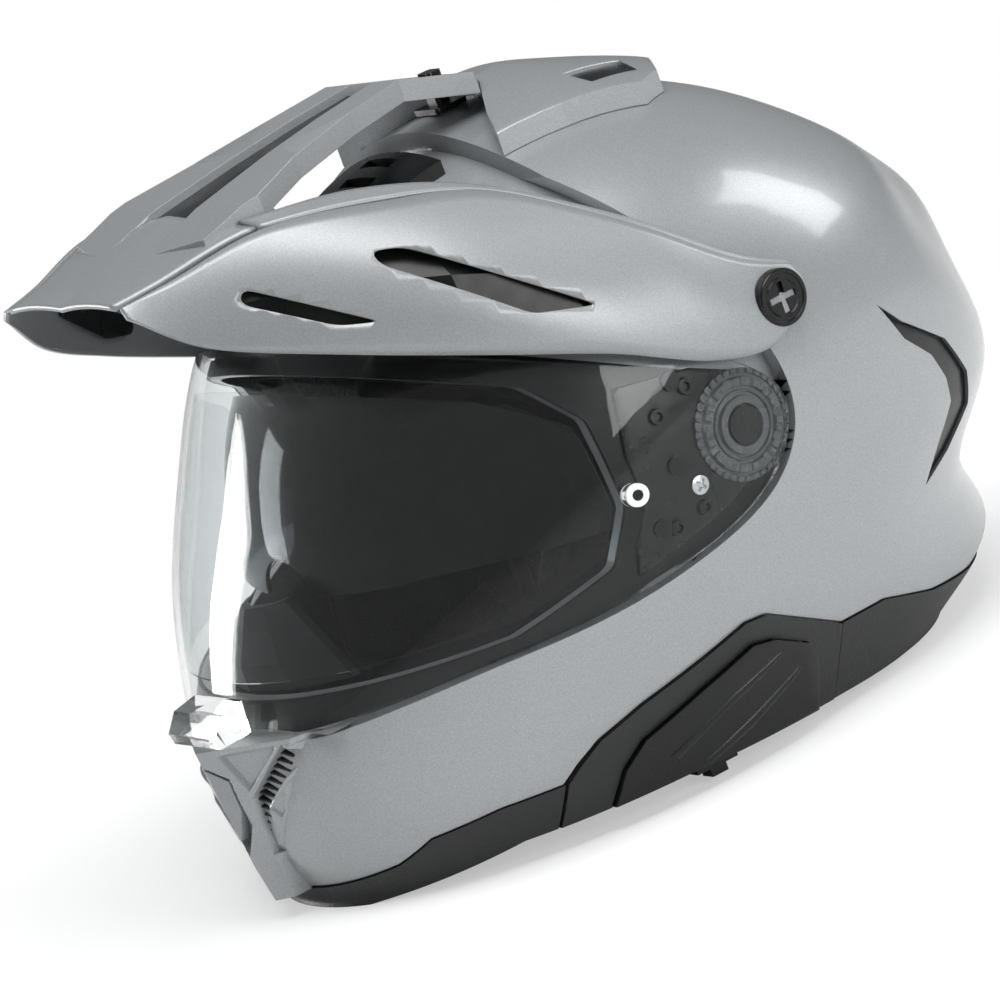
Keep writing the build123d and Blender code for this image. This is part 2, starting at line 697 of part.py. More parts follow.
with BuildPart() as lens_pins:
    add(band(-pin_proud, lens_top_depth + lens_wall, round_tool([lens_pin_shares], pin_radius)))
lens_pins.part.label = "pinlock_pins"
export_step(lens_pins.part, "parts/pinlock_pins.step")

with BuildPart() as visor_tab:
    with BuildSketch(Plane.YZ):
        with BuildLine():
            Polyline(*[side_spot(share) for share in tab_shares], close=True)
        make_face()
    extrude(amount=tab_half_width, both=True)
    add(layer(-close_gap), mode=Mode.SUBTRACT)
visor_tab.part.label = "visor_tab"
export_step(visor_tab.part, "parts/visor_tab.step")

# Sun visor: a piece of a ball, with a pin on each side
with BuildPart() as sun_visor:
    with Locations((0, sun_axis_y, sun_axis_z)):
        Sphere(sun_radius)
        Sphere(sun_radius - sun_wall, mode=Mode.SUBTRACT)
    add(side_tool(sun_visor_shares), mode=Mode.INTERSECT)
    with BuildSketch(Plane.XZ.offset(-sun_axis_y)):
        with Locations((0, side_spot(sun_visor_shares[0])[1])):
            Circle(nose_radius)
    extrude(amount=sun_radius + overrun, mode=Mode.SUBTRACT)
    add(across(sun_axis_y, sun_axis_z, sun_pin_radius, sun_radius - sun_wall, sun_radius + sun_pin_length))
sun_visor.part.label = "sun_visor"
export_step(sun_visor.part, "parts/sun_visor.step")

with BuildPart() as brackets:
    add(across(sun_axis_y, sun_axis_z, bracket_radius, bracket_x, side_reach))
    add(layer(floor_depth + close_gap), mode=Mode.INTERSECT)
    add(
        across(sun_axis_y, sun_axis_z, sun_pin_radius + running_gap, sun_radius, side_reach),
        mode=Mode.SUBTRACT,
    )
export_pair(brackets.part, "sun_visor_bracket")

# Sun visor lever: it slides along the straight run of the left rim
rim_front, rim_back = side_spot(rim_shares[3]), side_spot(rim_shares[4])
rim_slope = (rim_back[1] - rim_front[1]) / (rim_back[0] - rim_front[0])
lever_top = rim_front[1] - seat_gap
lever_corners = [
    (-lever_length / 2, 0),
    (lever_length / 2, 0),
    (lever_length / 2, lever_height),
    (lever_tab_length / 2, lever_height),
    (lever_tab_length / 2, lever_height + lever_tab_height),
    (-lever_tab_length / 2, lever_height + lever_tab_height),
    (-lever_tab_length / 2, lever_height),
    (-lever_length / 2, lever_height),
]
lever_line = [
    (lever_y + along, lever_top + rim_slope * (lever_y + along - rim_front[0]) - drop)
    for along, drop in lever_corners
]
lever_x = half_width_at(lever_y, lever_top, shell_wall)
with BuildPart() as sun_visor_lever:
    with BuildSketch(Plane.YZ.offset(lever_x - lever_width / 2)):
        with BuildLine():
            Polyline(*lever_line, close=True)
        make_face()
    extrude(amount=lever_width)
sun_visor_lever.part.label = "sun_visor_lever"
export_step(sun_visor_lever.part, "parts/sun_visor_lever.step")

# Rim trims
trim_back = trim_sink - close_gap
with BuildPart() as front_rim_trim:
    add(band(-trim_proud, trim_back, side_tool(front_trim_shares)))
    add(rim_tool, mode=Mode.SUBTRACT)
front_rim_trim.part.label = "front_rim_trim"
export_step(front_rim_trim.part, "parts/front_rim_trim.step")

with BuildPart() as rear_rim_trim:
    add(band(-trim_proud, trim_back, side_tool(rear_trim_shares)))
    add(rim_tool, mode=Mode.SUBTRACT)
rear_rim_trim.part.label = "rear_rim_trim"
export_step(rear_rim_trim.part, "parts/rear_rim_trim.step")

# Frames and covers of the intercom bays
with BuildPart() as intercom_frames:
    add(band(-frame_proud, trim_back, side_tool(frame_shares)))
    add(side_tool(cover_shares, grow=cover_gap), mode=Mode.SUBTRACT)
    add(rim_tool, mode=Mode.SUBTRACT)
export_pair(intercom_frames.part, "intercom_frame")

with BuildPart() as cover_inside:
    add(side_tool(cover_shares, grow=-cover_wall))
    add(layer(cover_wall - cover_proud), mode=Mode.INTERSECT)
with BuildPart() as intercom_covers:
    add(band(-cover_proud, trim_back, side_tool(cover_shares)))
    add(cover_inside.part, mode=Mode.SUBTRACT)
    add(rim_tool, mode=Mode.SUBTRACT)
export_pair(intercom_covers.part, "intercom_cover")

# Rear vent inserts
with BuildPart() as rear_vents:
    add(band(vent_sink, shell_wall, side_tool(rear_vent_shares, grow=-seat_gap)))
export_pair(rear_vents.part, "rear_vent")

# Crown vent: housing, exhaust inserts, intake grille and slider
with BuildPart() as exhaust_pocket:
    add(top_tool(exhaust_shares))
    add(layer(-vent_wall), mode=Mode.SUBTRACT)
with BuildPart() as crown_vent_housing:
    add(band(-housing_proud, -close_gap, top_tool(crown_housing_shares)))
    add(exhaust_pocket.part, mode=Mode.SUBTRACT)
crown_vent_housing.part.label = "crown_vent_housing"
export_step(crown_vent_housing.part, "parts/crown_vent_housing.step")

with BuildPart() as exhaust_inserts:
    add(band(vent_sink - housing_proud, -vent_wall - close_gap, top_tool(exhaust_shares, grow=-seat_gap)))
export_pair(exhaust_inserts.part, "exhaust_insert")

grille_front, grille_rear = top_spot(crown_grille_shares[0])[1], top_spot(crown_grille_shares[-1])[1]
with BuildPart() as crown_vent_grille:
    add(band(trim_sink, pocket_depth - close_gap, top_tool(crown_grille_shares)))
    with BuildSketch(Plane.XY.offset(pivot_z)):
        with Locations((0, (grille_front + grille_rear) / 2)):
            with GridLocations(0, grille_pitch, 1, grille_slots):
                Rectangle(crown_grille_shares[1][0] * half_width, grille_gap)
    extrude(amount=shell_height, mode=Mode.SUBTRACT)
crown_vent_grille.part.label = "crown_vent_grille"
export_step(crown_vent_grille.part, "parts/crown_vent_grille.step")

upright = (Align.CENTER, Align.CENTER, Align.MIN)
with BuildPart() as crown_vent_slider:
    with Locations((0, slider_y, shell_height + seat_gap)):
        Box(slider_width, slider_length, slider_wall, align=upright)
        Box(slider_tab_width, slider_tab_length, slider_tab_height, align=upright)
    fillet(crown_vent_slider.edges().filter_by(Axis.Z), slider_tab_length / 4)
crown_vent_slider.part.label = "crown_vent_slider"
export_step(crown_vent_slider.part, "parts/crown_vent_slider.step")

# Peak: two wings, the front panel, and a boss for each side screw
screw_floor = wing_screw_share * half_width - screw_sink
with BuildPart() as peak_shell:
    for y_share, *shares in wing_shares:
        outer = [front_spot(share) for share in shares]
        with BuildSketch(station(y_share)):
            with BuildLine():
                Polyline(*outer, *reversed(moved_line(outer, peak_wall)), close=True)
            make_face()
    loft(ruled=True)
    mirror(about=Plane.YZ)
    for y_share, middle_share, *shares in peak_front_shares:
        line = [front_spot(share) for share in shares]
        outer = [*[(-x, z) for x, z in reversed(line)], (0, middle_share * shell_height), *line]
        with BuildSketch(station(y_share)):
            with BuildLine():
                Polyline(*outer, *reversed(moved_line(outer, peak_wall)), close=True)
            make_face()
    loft(ruled=True)
    add(across(screw_y, screw_z, boss_radius, screw_x, screw_floor))
    add(side_tool(upper_slot_shares), mode=Mode.SUBTRACT)
    add(side_tool(lower_slot_shares), mode=Mode.SUBTRACT)
    add(across(screw_y, screw_z, screw_radius + seat_gap, screw_floor, side_reach), mode=Mode.SUBTRACT)
    add(screw_holes, mode=Mode.SUBTRACT)
    add(layer(-seat_gap), mode=Mode.SUBTRACT)
peak_shell.part.label = "peak_shell"
export_step(peak_shell.part, "parts/peak_shell.step")

# Dark panels behind the slots of the peak
with BuildPart() as insert_zone:
    add(side_tool(upper_slot_shares, grow=slot_lap))
    add(side_tool(lower_slot_shares, grow=slot_lap))
with BuildPart() as peak_inserts:
    for y_share, *shares in [(row[0], *row[-3:]) for row in (*peak_front_shares[:-1], *wing_shares)]:
        outer = [front_spot(share) for share in shares]
        near = moved_line(outer, peak_wall + close_gap)
        far = moved_line(outer, peak_wall + close_gap + insert_wall)
        with BuildSketch(station(y_share)):
            with BuildLine():
                Polyline(*near, *reversed(far), close=True)
            make_face()
    loft(ruled=True)
    mirror(about=Plane.YZ)
    add(insert_zone.part, mode=Mode.INTERSECT)
export_pair(peak_inserts.part, "peak_insert")

# Struts from the front panel up to the crown
strut_line = [side_spot(share) for share in strut_top_shares]
with BuildPart() as peak_bridge:
    with BuildSketch(Plane.YZ):
        with BuildLine():
            Polyline(*strut_line, *[(y, z - strut_height) for y, z in reversed(strut_line)], close=True)
        make_face()
    extrude(amount=side_reach, both=True)
    add(top_tool(strut_shares), mode=Mode.INTERSECT)
    add(peak_shell.part, mode=Mode.SUBTRACT)
    add(top_tool(crown_housing_shares, grow=seat_gap), mode=Mode.SUBTRACT)
peak_bridge.part.label = "peak_bridge"
export_step(peak_bridge.part, "parts/peak_bridge.step")

# Dark channel between the struts
with BuildPart() as peak_channel:
    with BuildSketch(Plane.YZ):
        with BuildLine():
            upper = [(y, z - channel_sink) for y, z in strut_line]
            Polyline(*upper, *[(y, z - channel_wall) for y, z in reversed(upper)], close=True)
        make_face()
    extrude(amount=side_reach, both=True)
    add(top_tool(channel_shares), mode=Mode.INTERSECT)
    add(peak_shell.part, mode=Mode.SUBTRACT)
    add(peak_bridge.part, mode=Mode.SUBTRACT)
peak_channel.part.label = "peak_channel"
export_step(peak_channel.part, "parts/peak_channel.step")

# Screws at the sides of the peak
screw_seat = screw_floor + close_gap
with BuildPart() as screw_slots:
    with BuildSketch(Plane.YZ.offset(screw_seat + screw_head / 2)):
        with Locations((screw_y, screw_z)):
            Rectangle(screw_slot_length, screw_slot_width)
            Rectangle(screw_slot_width, screw_slot_length)
    extrude(amount=screw_head)
    mirror(about=Plane.YZ)
with BuildPart() as peak_screws:
    add(across(screw_y, screw_z, screw_radius, screw_seat, screw_seat + screw_head))
    add(across(screw_y, screw_z, screw_shank_radius, screw_seat - screw_length, screw_seat))
    add(screw_slots.part, mode=Mode.SUBTRACT)
export_pair(peak_screws.part, "peak_screw")

# Chin vent: housing, grille and slider pad
pad_floor = -front_reach - vent_wall
with BuildPart() as chin_form:
    for z_share, *shares in chin_housing_shares:
        line = [top_spot(share) for share in shares]
        with BuildSketch(Plane.XY.offset(z_share * shell_height)):
            with BuildLine():
                Polyline(*line, *[(-x, y) for x, y in reversed(line[:-1])], close=True)
            make_face()
    loft(ruled=True)
    add(layer(-close_gap), mode=Mode.SUBTRACT)
    add(side_tool(front_trim_shares, grow=close_gap), mode=Mode.SUBTRACT)
travel_share = chin_travel / shell_height
pad_path_shares = [*slider_pad_shares[:2], *[(x, z - travel_share) for x, z in slider_pad_shares[2:]]]
with BuildPart() as chin_vent_housing:
    add(chin_form.part)
    add(front_tool(chin_slot_shares, -front_reach / 2), mode=Mode.SUBTRACT)
    add(front_tool(pad_path_shares, pad_floor, grow=seat_gap), mode=Mode.SUBTRACT)
chin_vent_housing.part.label = "chin_vent_housing"
export_step(chin_vent_housing.part, "parts/chin_vent_housing.step")

with BuildPart() as chin_vent_grille:
    add(front_tool(chin_slot_shares, -front_reach / 2, grow=-seat_gap))
    add(layer(-vent_wall), mode=Mode.INTERSECT)
    add(layer(-close_gap), mode=Mode.SUBTRACT)
chin_vent_grille.part.label = "chin_vent_grille"
export_step(chin_vent_grille.part, "parts/chin_vent_grille.step")

with BuildPart() as chin_vent_slider:
    add(chin_form.part)
    add(front_tool(slider_pad_shares, pad_floor - seat_gap), mode=Mode.INTERSECT)
chin_vent_slider.part.label = "chin_vent_slider"
export_step(chin_vent_slider.part, "parts/chin_vent_slider.step")

# Breath deflector: a bent sheet that stands in the lower edge of the eye port
with BuildPart() as breath_deflector:
    for z_share, *shares in deflector_shares:
        line = [top_spot(share) for share in shares]
        outer = [*line, *[(-x, y) for x, y in reversed(line[:-1])]]
        with BuildSketch(Plane.XY.offset(z_share * shell_height)):
            with BuildLine():
                Polyline(*outer, *[(x, y + deflector_wall) for x, y in reversed(outer)], close=True)
            make_face()
    loft(ruled=True)
    add(side_tool(eye_port_shares, rounding=corner_radius, grow=-seat_gap), mode=Mode.INTERSECT)
breath_deflector.part.label = "breath_deflector"
export_step(breath_deflector.part, "parts/breath_deflector.step")

# Chin curtain across the front of the neck opening
with BuildPart() as chin_curtain:
    with BuildSketch(Plane.XY.offset(curtain_z)):
        with Locations((0, -cavity_front)):
            Rectangle(2 * cavity_half_width, 2 * cavity_front * curtain_share)
    extrude(amount=curtain_wall)
    add(cavity(seat_gap), mode=Mode.INTERSECT)
chin_curtain.part.label = "chin_curtain"
export_step(chin_curtain.part, "parts/chin_curtain.step")

# Chin straps, folded in above the rim, the left one with a loop that holds the rings
strap_line = [(x * cavity_half_width, z * cavity_height) for x, z in strap_shares]
loop_hole = ring_wire + seat_gap
loop_x = strap_line[-1][0] - loop_hole
loop_z = strap_line[-1][1] + ring_pitch / 2
with BuildPart() as straps:
    with BuildSketch(Plane.XZ.offset(-strap_y)):
        with BuildLine():
            FilletPolyline(*strap_line, radius=corner_radius)
        trace(line_width=strap_wall)
    extrude(amount=strap_width / 2, both=True)
    mirror(about=Plane.YZ)
    with BuildSketch(Plane.XZ.offset(-strap_y)):
        with Locations((loop_x, loop_z)):
            Rectangle(2 * (loop_hole + strap_wall), ring_pitch + 2 * (loop_hole + strap_wall))
    extrude(amount=strap_width / 2, both=True)
    with BuildSketch(Plane.XZ.offset(-strap_y)):
        with Locations((loop_x, loop_z)):
            Rectangle(2 * loop_hole, ring_pitch + 2 * loop_hole)
    extrude(amount=strap_width, both=True, mode=Mode.SUBTRACT)
    add(anchor_holes, mode=Mode.SUBTRACT)
export_pair(straps.part, "chin_strap")

# Two D-rings, one above the other, with their bars in the loop
ring_edge = loop_x + ring_wire
with BuildPart() as d_rings:
    for level in (0, 1):
        with BuildSketch(Plane.XY.offset(strap_line[-1][1] - ring_wire + level * ring_pitch)):
            with Locations((ring_edge - ring_length + ring_width / 2, strap_y)):
                Circle(ring_width / 2)
            with Locations((ring_edge - ring_length / 2, strap_y)):
                Rectangle(ring_length, ring_width, mode=Mode.INTERSECT)
            offset(amount=-2 * ring_wire, mode=Mode.SUBTRACT)
        extrude(amount=2 * ring_wire)
    fillet(d_rings.edges(), 0.8 * ring_wire)
d_rings.part.label = "d_rings"
export_step(d_rings.part, "parts/d_rings.step")

# Anchors of the straps in the shell
anchor_x = strap_line[0][0] - strap_wall / 2 - close_gap
with BuildPart() as anchors:
    add(across(strap_y, anchor_z, anchor_radius, anchor_x - anchor_head, anchor_x))
    add(across(strap_y, anchor_z, anchor_shank, anchor_x - anchor_head, side_reach))
    add(layer(shell_wall + close_gap), mode=Mode.INTERSECT)
export_pair(anchors.part, "strap_anchor")
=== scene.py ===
# %% [markdown]
# # Dressing a dual sport helmet
# This lesson takes the bare solids of a dual sport helmet and gives them the look of the real
# one: sprayed shell, moulded peak, clear shield, rubber edges and knitted padding. The solids are
# a fixed frame, so nothing here moves them. Each finish is built from what the real material is.

# %% Load the frame
import json

import bmesh
import bpy
import numpy as np
from mathutils import Matrix, Vector


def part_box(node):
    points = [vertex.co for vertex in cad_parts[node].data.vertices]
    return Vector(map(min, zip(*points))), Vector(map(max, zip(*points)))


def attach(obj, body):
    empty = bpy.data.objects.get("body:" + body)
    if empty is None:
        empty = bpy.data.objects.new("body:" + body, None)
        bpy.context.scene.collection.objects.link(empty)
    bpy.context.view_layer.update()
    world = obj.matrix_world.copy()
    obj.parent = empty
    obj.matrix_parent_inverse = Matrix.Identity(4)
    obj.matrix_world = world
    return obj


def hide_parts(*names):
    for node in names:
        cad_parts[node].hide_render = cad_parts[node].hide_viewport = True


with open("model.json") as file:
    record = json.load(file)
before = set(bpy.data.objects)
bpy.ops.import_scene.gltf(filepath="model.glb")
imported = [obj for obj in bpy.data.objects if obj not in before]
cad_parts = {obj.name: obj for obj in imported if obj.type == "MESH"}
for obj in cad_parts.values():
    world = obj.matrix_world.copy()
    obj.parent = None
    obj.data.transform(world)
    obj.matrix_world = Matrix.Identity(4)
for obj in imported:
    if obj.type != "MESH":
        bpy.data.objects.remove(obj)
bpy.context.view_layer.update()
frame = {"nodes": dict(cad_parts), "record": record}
nodes = frame["nodes"]
mm = 0.001

# %% [markdown]
# ## Colours and nodes
# Colours are written the way a paint chart or a screen shows them, as sRGB hex values. Cycles works
# in linear light, so one function turns them. One more small function adds a shader node with its
# settings and links, which keeps each material short enough to read.


# %% Two helpers for every material
def linear(hex_colour):
    """sRGB hex to linear light: the straight part below 0.04045, the 2.4 power above it."""
    channels = np.array([int(hex_colour[i:i + 2], 16) for i in (1, 3, 5)]) / 255
    low = channels / 12.92
    high = ((channels + 0.055) / 1.055) ** 2.4
    return (*np.where(channels <= 0.04045, low, high), 1.0)


def add_node(material, kind, settings=None, **inputs):
    """One node of that kind: settings are its own properties, inputs are values or sockets to link."""
    tree = material.node_tree
    node = tree.nodes.new(kind)
    for key, value in (settings or {}).items():
        setattr(node, key, value)
    for key, value in inputs.items():
        name = int(key[1:]) if key[0] == "_" else key.replace("_", " ")
        socket = node.inputs[name]
        if isinstance(value, bpy.types.NodeSocket):
            tree.links.new(value, socket)
        else:
            socket.default_value = value
    return node


def new_material(name):
    """An empty node material with its output, and a Principled shader linked to it."""
    material = bpy.data.materials.new(name)
    material.use_nodes = True
    material.node_tree.nodes.clear()
    shader = add_node(material, "ShaderNodeBsdfPrincipled")
    add_node(material, "ShaderNodeOutputMaterial", Surface=shader.outputs[0])
    return material, shader


# %% [markdown]
# ## The camera
# The photograph looks at the left front of the helmet from a little above, through a long lens, and
# the helmet is tipped in the frame. Here the helmet stands level on its rim, so the same tip is a
# roll of the camera about its own line of sight.

# %% Camera at the photograph's angle
azimuth, elevation, roll = np.radians([59.234, 13.809, -19.726])
look_at = np.array([-6.807, -21.272, 97.527]) * mm
distance = 1729.64 * mm
flat_right = np.array([np.cos(azimuth), np.sin(azimuth), 0])
back = np.array([np.sin(azimuth) * np.cos(elevation), -np.cos(azimuth) * np.cos(elevation),
                 np.sin(elevation)])
flat_up = np.cross(back, flat_right)
right = flat_right * np.cos(roll) + flat_up * np.sin(roll)
up = np.cross(back, right)

camera = bpy.data.objects.new("photo_camera", bpy.data.cameras.new("photo_camera"))
bpy.context.scene.collection.objects.link(camera)
camera.data.lens = 173.03
camera.data.sensor_width = 36
camera.data.clip_start = 0.05
turn = np.eye(4)
turn[:3, 0], turn[:3, 1], turn[:3, 2] = right, up, back
turn[:3, 3] = look_at + back * distance
camera.matrix_world = Matrix(turn.tolist())
bpy.context.scene.camera = camera
print("camera at", np.round(turn[:3, 3], 4))

# %% [markdown]
# ## Floor, world and lamps
# A pale floor carries the shadow, and the world behind it is near white to the camera and to
# reflections. The lamps are large, so the paint shows broad soft lights: one above, one tall strip
# ahead of the chin that draws the bright edge down the shield, and one low lamp from the viewer's side.


# %% Floor and world
def area_light(name, direction, reach, wide, high, power, aim=(0, 0, 0.12)):
    """A rectangular lamp at that direction and distance from aim, facing it."""
    lamp = bpy.data.objects.new(name, bpy.data.lights.new(name, "AREA"))
    lamp.data.shape = "RECTANGLE"
    lamp.data.size, lamp.data.size_y, lamp.data.energy = wide, high, power
    spot = Vector(aim) + Vector(direction).normalized() * reach
    lamp.location = spot
    lamp.rotation_euler = (Vector(aim) - spot).to_track_quat("-Z", "Y").to_euler()
    bpy.context.scene.collection.objects.link(lamp)
    return lamp


world = bpy.data.worlds.new("studio")
bpy.context.scene.world = world
world.use_nodes = True
world.node_tree.nodes.clear()
path = add_node(world, "ShaderNodeLightPath")
seen = add_node(world, "ShaderNodeMath", {"operation": "MAXIMUM"},
                _0=path.outputs["Is Camera Ray"], _1=path.outputs["Is Transmission Ray"])
room = add_node(world, "ShaderNodeBackground", Color=linear("#C9CBCD"), Strength=0.3)
screen = add_node(world, "ShaderNodeBackground", Color=linear("#FFFFFF"), Strength=1.0)
mixed = add_node(world, "ShaderNodeMixShader", _0=seen.outputs[0], _1=room.outputs[0],
                 _2=screen.outputs[0])
add_node(world, "ShaderNodeOutputWorld", Surface=mixed.outputs[0])

floor_size = 6.0
corner = floor_size / 2
floor_mesh = bpy.data.meshes.new("floor")
floor_mesh.from_pydata([(-corner, -corner, 0), (corner, -corner, 0), (corner, corner, 0),
                        (-corner, corner, 0)], [], [(0, 1, 2, 3)])
floor = bpy.data.objects.new("floor", floor_mesh)
bpy.context.scene.collection.objects.link(floor)
paper, shader = new_material("seamless_paper")
shader.inputs["Base Color"].default_value = linear("#F4F4F4")
shader.inputs["Roughness"].default_value = 0.9
paper_place = add_node(paper, "ShaderNodeTexCoord")
from_middle = add_node(paper, "ShaderNodeVectorMath", {"operation": "LENGTH"},
                       _0=paper_place.outputs["Object"])
glow = add_node(paper, "ShaderNodeMapRange", None, Value=from_middle.outputs["Value"],
                _1=0.15, _2=0.6, _3=0.45, _4=1.0)
paper_path = add_node(paper, "ShaderNodeLightPath")
shown = add_node(paper, "ShaderNodeMath", {"operation": "MAXIMUM"},
                 _0=paper_path.outputs["Is Camera Ray"], _1=paper_path.outputs["Is Transmission Ray"])
amount = add_node(paper, "ShaderNodeMath", {"operation": "MULTIPLY"}, _0=glow.outputs[0],
                  _1=shown.outputs[0])
white = add_node(paper, "ShaderNodeEmission", None, Color=linear("#FFFFFF"), Strength=1.0)
paper_mix = add_node(paper, "ShaderNodeMixShader", None, _0=amount.outputs[0], _1=shader.outputs[0],
                     _2=white.outputs[0])
paper_out = paper.node_tree.nodes["Material Output"]
paper.node_tree.links.new(paper_mix.outputs[0], paper_out.inputs["Surface"])
floor_mesh.materials.append(paper)

# %% Lamps
area_light("top_softbox", (0.25, -0.1, 1), 1.3, 1.1, 0.9, 21)
area_light("front_strip", (-0.85, -0.62, -0.02), 1.2, 0.28, 0.9, 12)
area_light("viewer_side", (1, 0.15, 0.3), 1.8, 0.8, 0.8, 15)
area_light("rear_edge", (0.3, 1, 0.5), 1.6, 0.5, 0.9, 8)

# %% [markdown]
# ## Finishes
# Each finish starts from what the real one is and how its surface was made. The patterns read Object
# coordinates, which are the frame's own metres, so a scale of one over a size in metres repeats a
# pattern at that size on every piece.


# %% A finish and its grain
def set_up(name, colour, roughness, **more):
    """A Principled material with a colour, a roughness and other sockets by name."""
    material, shader = new_material(name)
    shader.inputs["Base Color"].default_value = linear(colour)
    shader.inputs["Roughness"].default_value = roughness
    for key, value in more.items():
        shader.inputs[key.replace("_", " ")].default_value = value
    return material


def grain(material, size, height, detail=2.0, kind="ShaderNodeTexNoise", output="Fac", **settings):
    """Bump of a noise or cell pattern whose grains are size metres across and height metres deep."""
    shader = material.node_tree.nodes["Principled BSDF"]
    place = add_node(material, "ShaderNodeTexCoord")
    scales = {"Scale": 1 / size, "Detail": detail} if kind == "ShaderNodeTexNoise" else {"Scale": 1 / size}
    pattern = add_node(material, kind, settings, Vector=place.outputs["Object"], **scales)
    bump = add_node(material, "ShaderNodeBump", None, Distance=height, Strength=1.0,
                    Height=pattern.outputs[output])
    earlier = shader.inputs["Normal"].links
    if earlier:
        material.node_tree.links.new(earlier[0].from_socket, bump.inputs["Normal"])
    material.node_tree.links.new(bump.outputs[0], shader.inputs["Normal"])
    return pattern


def mottle(material, size, low, high, socket="Base Color"):
    """Slow change between two colours, or two values of another socket, over patches of size metres."""
    shader = material.node_tree.nodes["Principled BSDF"]
    place = add_node(material, "ShaderNodeTexCoord")
    noise = add_node(material, "ShaderNodeTexNoise", None, Vector=place.outputs["Object"],
                     Scale=1 / size, Detail=3.0)
    if socket == "Base Color":
        ramp = add_node(material, "ShaderNodeValToRGB", None, Fac=noise.outputs["Fac"])
        ramp.color_ramp.elements[0].position = 0.35
        ramp.color_ramp.elements[1].position = 0.65
        ramp.color_ramp.elements[0].color = linear(low)
        ramp.color_ramp.elements[1].color = linear(high)
        material.node_tree.links.new(ramp.outputs[0], shader.inputs[socket])
    else:
        reach = add_node(material, "ShaderNodeMapRange", None, Value=noise.outputs["Fac"],
                         _1=0.3, _2=0.7, _3=low, _4=high)
        material.node_tree.links.new(reach.outputs[0], shader.inputs[socket])


# %% [markdown]
# The shell is sprayed: a grey base with fine metal flake under clear lacquer. Flake is tens of
# microns across, too fine for the render, so it is drawn at half a millimetre as a faint mottle of
# colour. The lacquer is the coat, and its orange peel is a very shallow wave a few millimetres long.
# The peak is the same grey in a satin lacquer, so it has a rougher surface.

# %% Paint on shell and peak
gloss_paint = set_up("sprayed_shell_lacquer", "#8C8F91", 0.34, Metallic=0.35, Coat_Weight=0.55,
                     Coat_Roughness=0.09)
mottle(gloss_paint, 0.5 * mm, "#86898B", "#95989A")
grain(gloss_paint, 3.5 * mm, 0.012 * mm, 1.0)
satin_paint = set_up("satin_peak_paint", "#898C8E", 0.4, Metallic=0.3, Coat_Weight=0.15,
                     Coat_Roughness=0.3)
mottle(satin_paint, 0.5 * mm, "#838688", "#919496")
grain(satin_paint, 2.5 * mm, 0.01 * mm, 1.0)

# %% [markdown]
# The plastics are injection moulded. Nylon leaves the tool with a fine spark grain and picks up
# patches of sheen where hands rub it. The rim trim is moulded in a coarse leather grain, drawn here as
# cells a little over a millimetre across. Rubber is duller and has almost no grain.

# %% Plastics and rubber
black_plastic = set_up("moulded_black_nylon", "#0B0C0D", 0.3, Specular_IOR_Level=0.3)
grain(black_plastic, 0.6 * mm, 0.03 * mm)
mottle(black_plastic, 14 * mm, 0.24, 0.36, "Roughness")
grey_plastic = set_up("moulded_grey_abs", "#4A4D4F", 0.26)
grain(grey_plastic, 0.7 * mm, 0.02 * mm)
mottle(grey_plastic, 16 * mm, 0.2, 0.32, "Roughness")
white_plastic = set_up("moulded_white_acetal", "#E6E7E8", 0.32, Subsurface_Weight=0.05)
grain(white_plastic, 0.8 * mm, 0.01 * mm)
mottle(white_plastic, 10 * mm, "#DEDFE0", "#ECEDEE")
textured_trim = set_up("grained_black_trim", "#161718", 0.46, Specular_IOR_Level=0.4)
grain(textured_trim, 1.3 * mm, 0.12 * mm, 2.0, "ShaderNodeTexVoronoi", "Distance",
      feature="SMOOTH_F1")
grain(textured_trim, 0.5 * mm, 0.03 * mm)
black_rubber = set_up("moulded_gasket_rubber", "#080809", 0.4, Specular_IOR_Level=0.2)
grain(black_rubber, 1.2 * mm, 0.02 * mm)
mottle(black_rubber, 20 * mm, 0.34, 0.48, "Roughness")

# %% [markdown]
# The shield and the lenses are polycarbonate and cellulose sheet, clear through their whole thickness,
# so they are transmission with the plastic's own index. The sun visor is the same sheet tinted grey.
# Their only texture is the faint waviness that moulding leaves.

# %% Clear sheets
clear_visor = set_up("clear_polycarbonate", "#F6F8F8", 0.015, Transmission_Weight=1.0, IOR=1.25)
grain(clear_visor, 60 * mm, 0.03 * mm, 0.0)
inner_lens = set_up("clear_cellulose_lens", "#F2F4F5", 0.03, Transmission_Weight=1.0, IOR=1.12)
grain(inner_lens, 50 * mm, 0.03 * mm, 0.0)
smoke_visor = set_up("smoke_polycarbonate", "#5A5D61", 0.03, Transmission_Weight=1.0, IOR=1.2)
grain(smoke_visor, 60 * mm, 0.03 * mm, 0.0)

# %% [markdown]
# The lining is a warp knit over foam. Its holes are about two millimetres apart, in staggered rows,
# which a cell pattern draws well, and its loose fibres catch light at the edges as sheen. The strap is
# woven webbing in a twill: slanted bands a millimetre and a half apart. The liner is
# expanded beads pressed together, which shows as cells of three millimetres.

# %% Fabric, webbing and foam
black_fabric = set_up("knitted_lining", "#0C0C0D", 0.88, Specular_IOR_Level=0.1, Sheen_Weight=0.06,
                      Sheen_Roughness=0.5)
grain(black_fabric, 2.0 * mm, 0.5 * mm, 2.0, "ShaderNodeTexVoronoi", "Distance", feature="F1")
mottle(black_fabric, 3.0 * mm, "#090909", "#121213")
webbing = set_up("woven_webbing", "#141415", 0.78, Sheen_Weight=0.2)
grain(webbing, 3.3 * mm, 0.25 * mm, 1.0, "ShaderNodeTexWave", bands_direction="DIAGONAL")
mottle(webbing, 2.0 * mm, "#101011", "#1B1B1C")
foam = set_up("expanded_bead_foam", "#0A0A0B", 0.8, Specular_IOR_Level=0.1)
grain(foam, 3.0 * mm, 0.25 * mm, 2.0, "ShaderNodeTexVoronoi", "Distance", feature="F1")
mottle(foam, 3.0 * mm, "#0A0A0B", "#121214")

